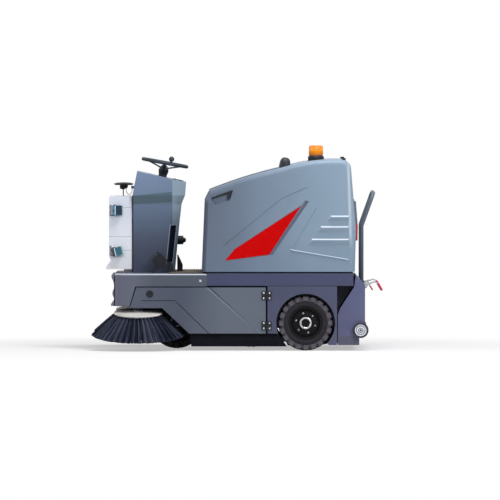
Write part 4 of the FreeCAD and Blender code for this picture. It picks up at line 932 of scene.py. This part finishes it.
# ---------------------------------------------------------------- small fittings
RIB_HEIGHT, RIB_PITCH = 0.003, 0.017
TOWER_REAR, TOWER_HALF_WIDTH = 0.375, 0.325        # of the space that the ribs leave free
NOSE_BOLT, HOOD_PLUG = (0.265, 0.575, 0.507), (-0.779, 0.5, 1.388)
HINGE_HEIGHTS, SCREW_REACH, SCREW_RISE = (0.181, 0.400), 0.0215, 0.019


def platform_ribs():
    """Raised ribs across the foot plate, clear of the tower's foot and the pedals."""
    low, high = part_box("platform_deck")
    shape = Shape()
    x = low.x + 0.016
    while x < high.x - 0.015:
        spans = [(low.y + 0.012, high.y - 0.012)]
        if x > TOWER_REAR:
            spans = [(low.y + 0.012, -TOWER_HALF_WIDTH), (TOWER_HALF_WIDTH, high.y - 0.012)]
        for start, end in spans:
            shape.hull([(x + a, y, high.z + up) for y in (start, end)
                        for a, up in ((-0.005, 0), (0.005, 0), (-0.003, RIB_HEIGHT), (0.003, RIB_HEIGHT))])
        x += RIB_PITCH
    shape.piece("platform_ribs", "chassis", "platform_mat", MAT, smooth=False)


platform_ribs()


def hinge_bolts():
    """Two bright screws on each leaf of the door hinges."""
    for word, side in SIDES:
        joint = JOINTS["door_" + word + "_swing"]
        hinge_x = joint["pos_m"][0]
        for body, end, reach in (("door_" + word, "_door", SCREW_REACH),
                                 ("chassis", "_fender", -SCREW_REACH)):
            shape = Shape()
            for height in HINGE_HEIGHTS:
                for offset in (-SCREW_RISE, SCREW_RISE):
                    dome_bolt(shape, Vector((hinge_x + reach, side * 0.5795, height + offset)), Y_AXIS * side,
                              0.0052, 0.0035)
            shape.piece("hinge_screws_" + word + end, body, "zinc_steel", STEEL)


hinge_bolts()


def body_bolts():
    """The single bright bolt on each side of the nose, and the plug on the hood's top."""
    shape = Shape()
    for _, side in SIDES:
        x, y, z = NOSE_BOLT
        dome_bolt(shape, Vector((x, side * y, z)), Y_AXIS * side, 0.0075, 0.005)
    shape.piece("nose_bolts", "chassis", "zinc_steel", STEEL)
    plug = Shape()
    for _, side in SIDES:
        x, y, z = HOOD_PLUG
        plug.lathe([(0.0, -0.004), (0.015, -0.004), (0.015, 0.010), (0.012, 0.013), (0.0, 0.013)],
                   Vector((x, side * y, z)), Z_AXIS, 32)
    plug.piece("hood_plugs", "hood", "black_plastic", BLACK)


body_bolts()


def door_seals():
    """Rubber strips behind the front and rear edges of each side door, and a flap inside each rear wheel."""
    door_low, door_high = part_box("side_door_left")
    inner = door_low.y - 0.001
    shape = Shape()
    hinge_x = JOINTS["door_left_swing"]["pos_m"][0]
    front = ((0.720, door_high.z + 0.012), (0.752, door_high.z + 0.012), (0.792, 0.322), (0.760, 0.322))
    rear = [(hinge_x + a, z) for a in (-0.014, 0.014) for z in (door_low.z, door_high.z)]
    for _, side in SIDES:
        for outline in (front, rear):
            shape.hull([(x, side * y, z) for y in (inner - 0.003, inner) for x, z in outline])
    shape.piece("door_seals", "chassis", "skirt_rubber", RUBBER)
    flap = Shape()
    hub = box_centre("rear_tyre_left")
    for _, side in SIDES:
        outline = [(hub.x + a, z) for a, z in ((-0.185, 0.052), (-0.215, 0.165), (0.19, 0.165), (0.13, 0.034),
                                               (-0.09, 0.034))]
        flap.hull([(x, side * y, z) for y in (0.4435, 0.4480) for x, z in outline])
    flap.piece("wheel_flaps", "chassis", "skirt_rubber", RUBBER)


door_seals()


def camera_lenses():
    """Glass on each corner camera's front window, and the white bracket beside it, whose greyed colour is
    painted shade.
    """
    glass, bracket = Shape(), Shape()
    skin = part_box("sensor_housing")[1].y
    for _, side in SIDES:
        for x, height, pitch in CAMERAS:
            turn = Matrix.Rotation(pitch, 3, "Y")
            out = turn @ Vector((math.cos(CAMERA_TURN), side * math.sin(CAMERA_TURN), 0))
            face = Vector((x, side * CAMERA_Y, height)) + out * CAMERA_HALF
            glass.lathe([(0.0, -0.001), (0.0115, -0.001), (0.0115, 0.0002), (0.008, 0.0006), (0.0, 0.0008)],
                        face, out, 32)
            corners = [(a, up) for a in (-0.046, 0.006) for up in (-0.045, 0.034)]
            bracket.hull([Vector((x, 0, height)) + turn @ Vector((a, 0, up)) + Vector((0, side * y, 0))
                          for a, up in corners for y in (skin - 0.001, skin + 0.0035)])
    glass.piece("camera_glass", "chassis", "camera_blue", GLASS)
    bracket.piece("camera_brackets", "chassis", "white_plastic", SHADED_BRACKET, bevel=0.001)


camera_lenses()


DASH_THICKNESS = 0.003
DASH_SLOPE = 80 / 357           # rise over run of the tower's top


def dash_details():
    """Display, switches and key on the sloping instrument panel."""
    low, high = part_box("instrument_panel")
    slope = Vector((1, 0, DASH_SLOPE)).normalized()
    normal = Vector((-slope.z, 0, slope.x))
    foot = Vector((low.x, 0, low.z + DASH_THICKNESS))

    def on_panel(along, across, up=0.0):
        return foot + slope * along + Y_AXIS * across + normal * up
    screen = Shape()
    screen.hull([on_panel(a, y, u) for a in (0.012, 0.068) for y in (-0.045, 0.045) for u in (0.0005, 0.003)])
    screen.piece("dash_screen", "chassis", "black_plastic", GLASS, smooth=False, bevel=0.001)
    switches = Shape()
    for across in (-0.125, -0.095, -0.068, 0.068, 0.095):
        switches.lathe([(0, 0), (0.009, 0), (0.009, 0.0015), (0.006, 0.0025), (0.0, 0.003)],
                       on_panel(0.030, across), normal, 24)
    switches.lathe([(0, 0), (0.013, 0), (0.013, 0.002), (0.009, 0.003), (0.009, 0.002), (0, 0.002)],
                   on_panel(0.040, 0.125), normal, 32)
    switches.piece("dash_switches", "chassis", "zinc_steel", STEEL)


dash_details()


# ---------------------------------------------------------------- stage, light and camera
def stage():
    """White floor that keeps the shadow near the machine and fades into the white backdrop."""
    mesh = bpy.data.meshes.new("floor")
    reach = 60.0
    mesh.from_pydata([(-reach, -reach, 0), (reach, -reach, 0), (reach, reach, 0), (-reach, reach, 0)], [],
                     [(0, 1, 2, 3)])
    floor = add_object("floor", mesh)
    material = bpy.data.materials.new("floor")
    material.use_nodes = True
    tree = material.node_tree
    tree.nodes.clear()
    new = tree.nodes.new
    output, blend, diffuse, glow = (new(k) for k in ("ShaderNodeOutputMaterial", "ShaderNodeMixShader",
                                                     "ShaderNodeBsdfDiffuse", "ShaderNodeEmission"))
    diffuse.inputs["Color"].default_value = (0.86, 0.86, 0.87, 1)
    glow.inputs["Color"].default_value = (1, 1, 1, 1)
    path, place, length = (new(k) for k in ("ShaderNodeLightPath", "ShaderNodeTexCoord",
                                            "ShaderNodeVectorMath"))
    length.operation = "LENGTH"
    near = new("ShaderNodeMapRange")
    near.interpolation_type = "SMOOTHSTEP"
    for name, number in zip(("From Min", "From Max", "To Min", "To Max"), (1.1, 3.2, 0.45, 1.0)):
        near.inputs[name].default_value = number
    seen = new("ShaderNodeMath")
    seen.operation = "MULTIPLY"
    for source, target in ((place.outputs["Object"], length.inputs[0]),
                           (length.outputs["Value"], near.inputs["Value"]),
                           (near.outputs[0], seen.inputs[0]), (path.outputs["Is Camera Ray"], seen.inputs[1]),
                           (seen.outputs[0], blend.inputs[0]), (diffuse.outputs[0], blend.inputs[1]),
                           (glow.outputs[0], blend.inputs[2]), (blend.outputs[0], output.inputs[0])):
        tree.links.new(source, target)
    mesh.materials.append(material)


def backdrop(ambient):
    """World that lights at the ambient level, and is white where it is seen or reflected."""
    world = bpy.data.worlds.new("studio")
    bpy.context.scene.world = world
    world.use_nodes = True
    tree = world.node_tree
    shade = tree.nodes["Background"]
    shade.inputs["Color"].default_value = (1, 1, 1, 1)
    path = tree.nodes.new("ShaderNodeLightPath")
    first, second = tree.nodes.new("ShaderNodeMath"), tree.nodes.new("ShaderNodeMath")
    first.operation = second.operation = "MAXIMUM"
    strength = tree.nodes.new("ShaderNodeMapRange")
    strength.inputs["To Min"].default_value = ambient
    for source, target in ((path.outputs["Is Camera Ray"], first.inputs[0]),
                           (path.outputs["Is Glossy Ray"], first.inputs[1]),
                           (first.outputs[0], second.inputs[0]),
                           (path.outputs["Is Transmission Ray"], second.inputs[1]),
                           (second.outputs[0], strength.inputs["Value"]),
                           (strength.outputs["Result"], shade.inputs["Strength"])):
        tree.links.new(source, target)


def area_light(name, place, target, size, watts):
    """Soft disc lamp aimed at a target."""
    data = bpy.data.lights.new(name, "AREA")
    data.shape, data.size, data.energy = "DISK", size, watts
    lamp = add_object(name, data)
    lamp.location = place
    lamp.rotation_euler = (Vector(target) - Vector(place)).to_track_quat("-Z", "Y").to_euler()


VIEW_DISTANCE, VIEW_WIDTH, VIEW_RAISE = 60.0, 3.635, math.radians(1.2)


def camera():
    """Nearly level view of the left side from far off, with a long lens."""
    data = bpy.data.cameras.new("camera")
    data.sensor_width = 36.0
    data.lens = data.sensor_width * VIEW_DISTANCE / VIEW_WIDTH
    data.clip_end = 200
    view = add_object("camera", data)
    left_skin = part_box("hood_shell")[1].y
    aim = Vector((-0.097, left_skin, CAD_BOX[1].z / 2 - 0.012))
    view.location = aim + Vector((0, math.cos(VIEW_RAISE), math.sin(VIEW_RAISE))) * VIEW_DISTANCE
    view.rotation_euler = (math.radians(90) - VIEW_RAISE, 0, math.radians(180))
    bpy.context.scene.camera = view


stage()
backdrop(0.33)
area_light("key", (-3.2, 5.0, 3.6), (0, 0, 0.7), 2.0, 146)
area_light("front_fill", (5.5, 2.5, 2.5), (0, 0, 0.7), 3.0, 55)
area_light("top", (-0.6, 1.6, 5.2), (0, 0, 0.6), 2.0, 172)
camera()
bpy.context.scene.view_settings.view_transform = "Standard"
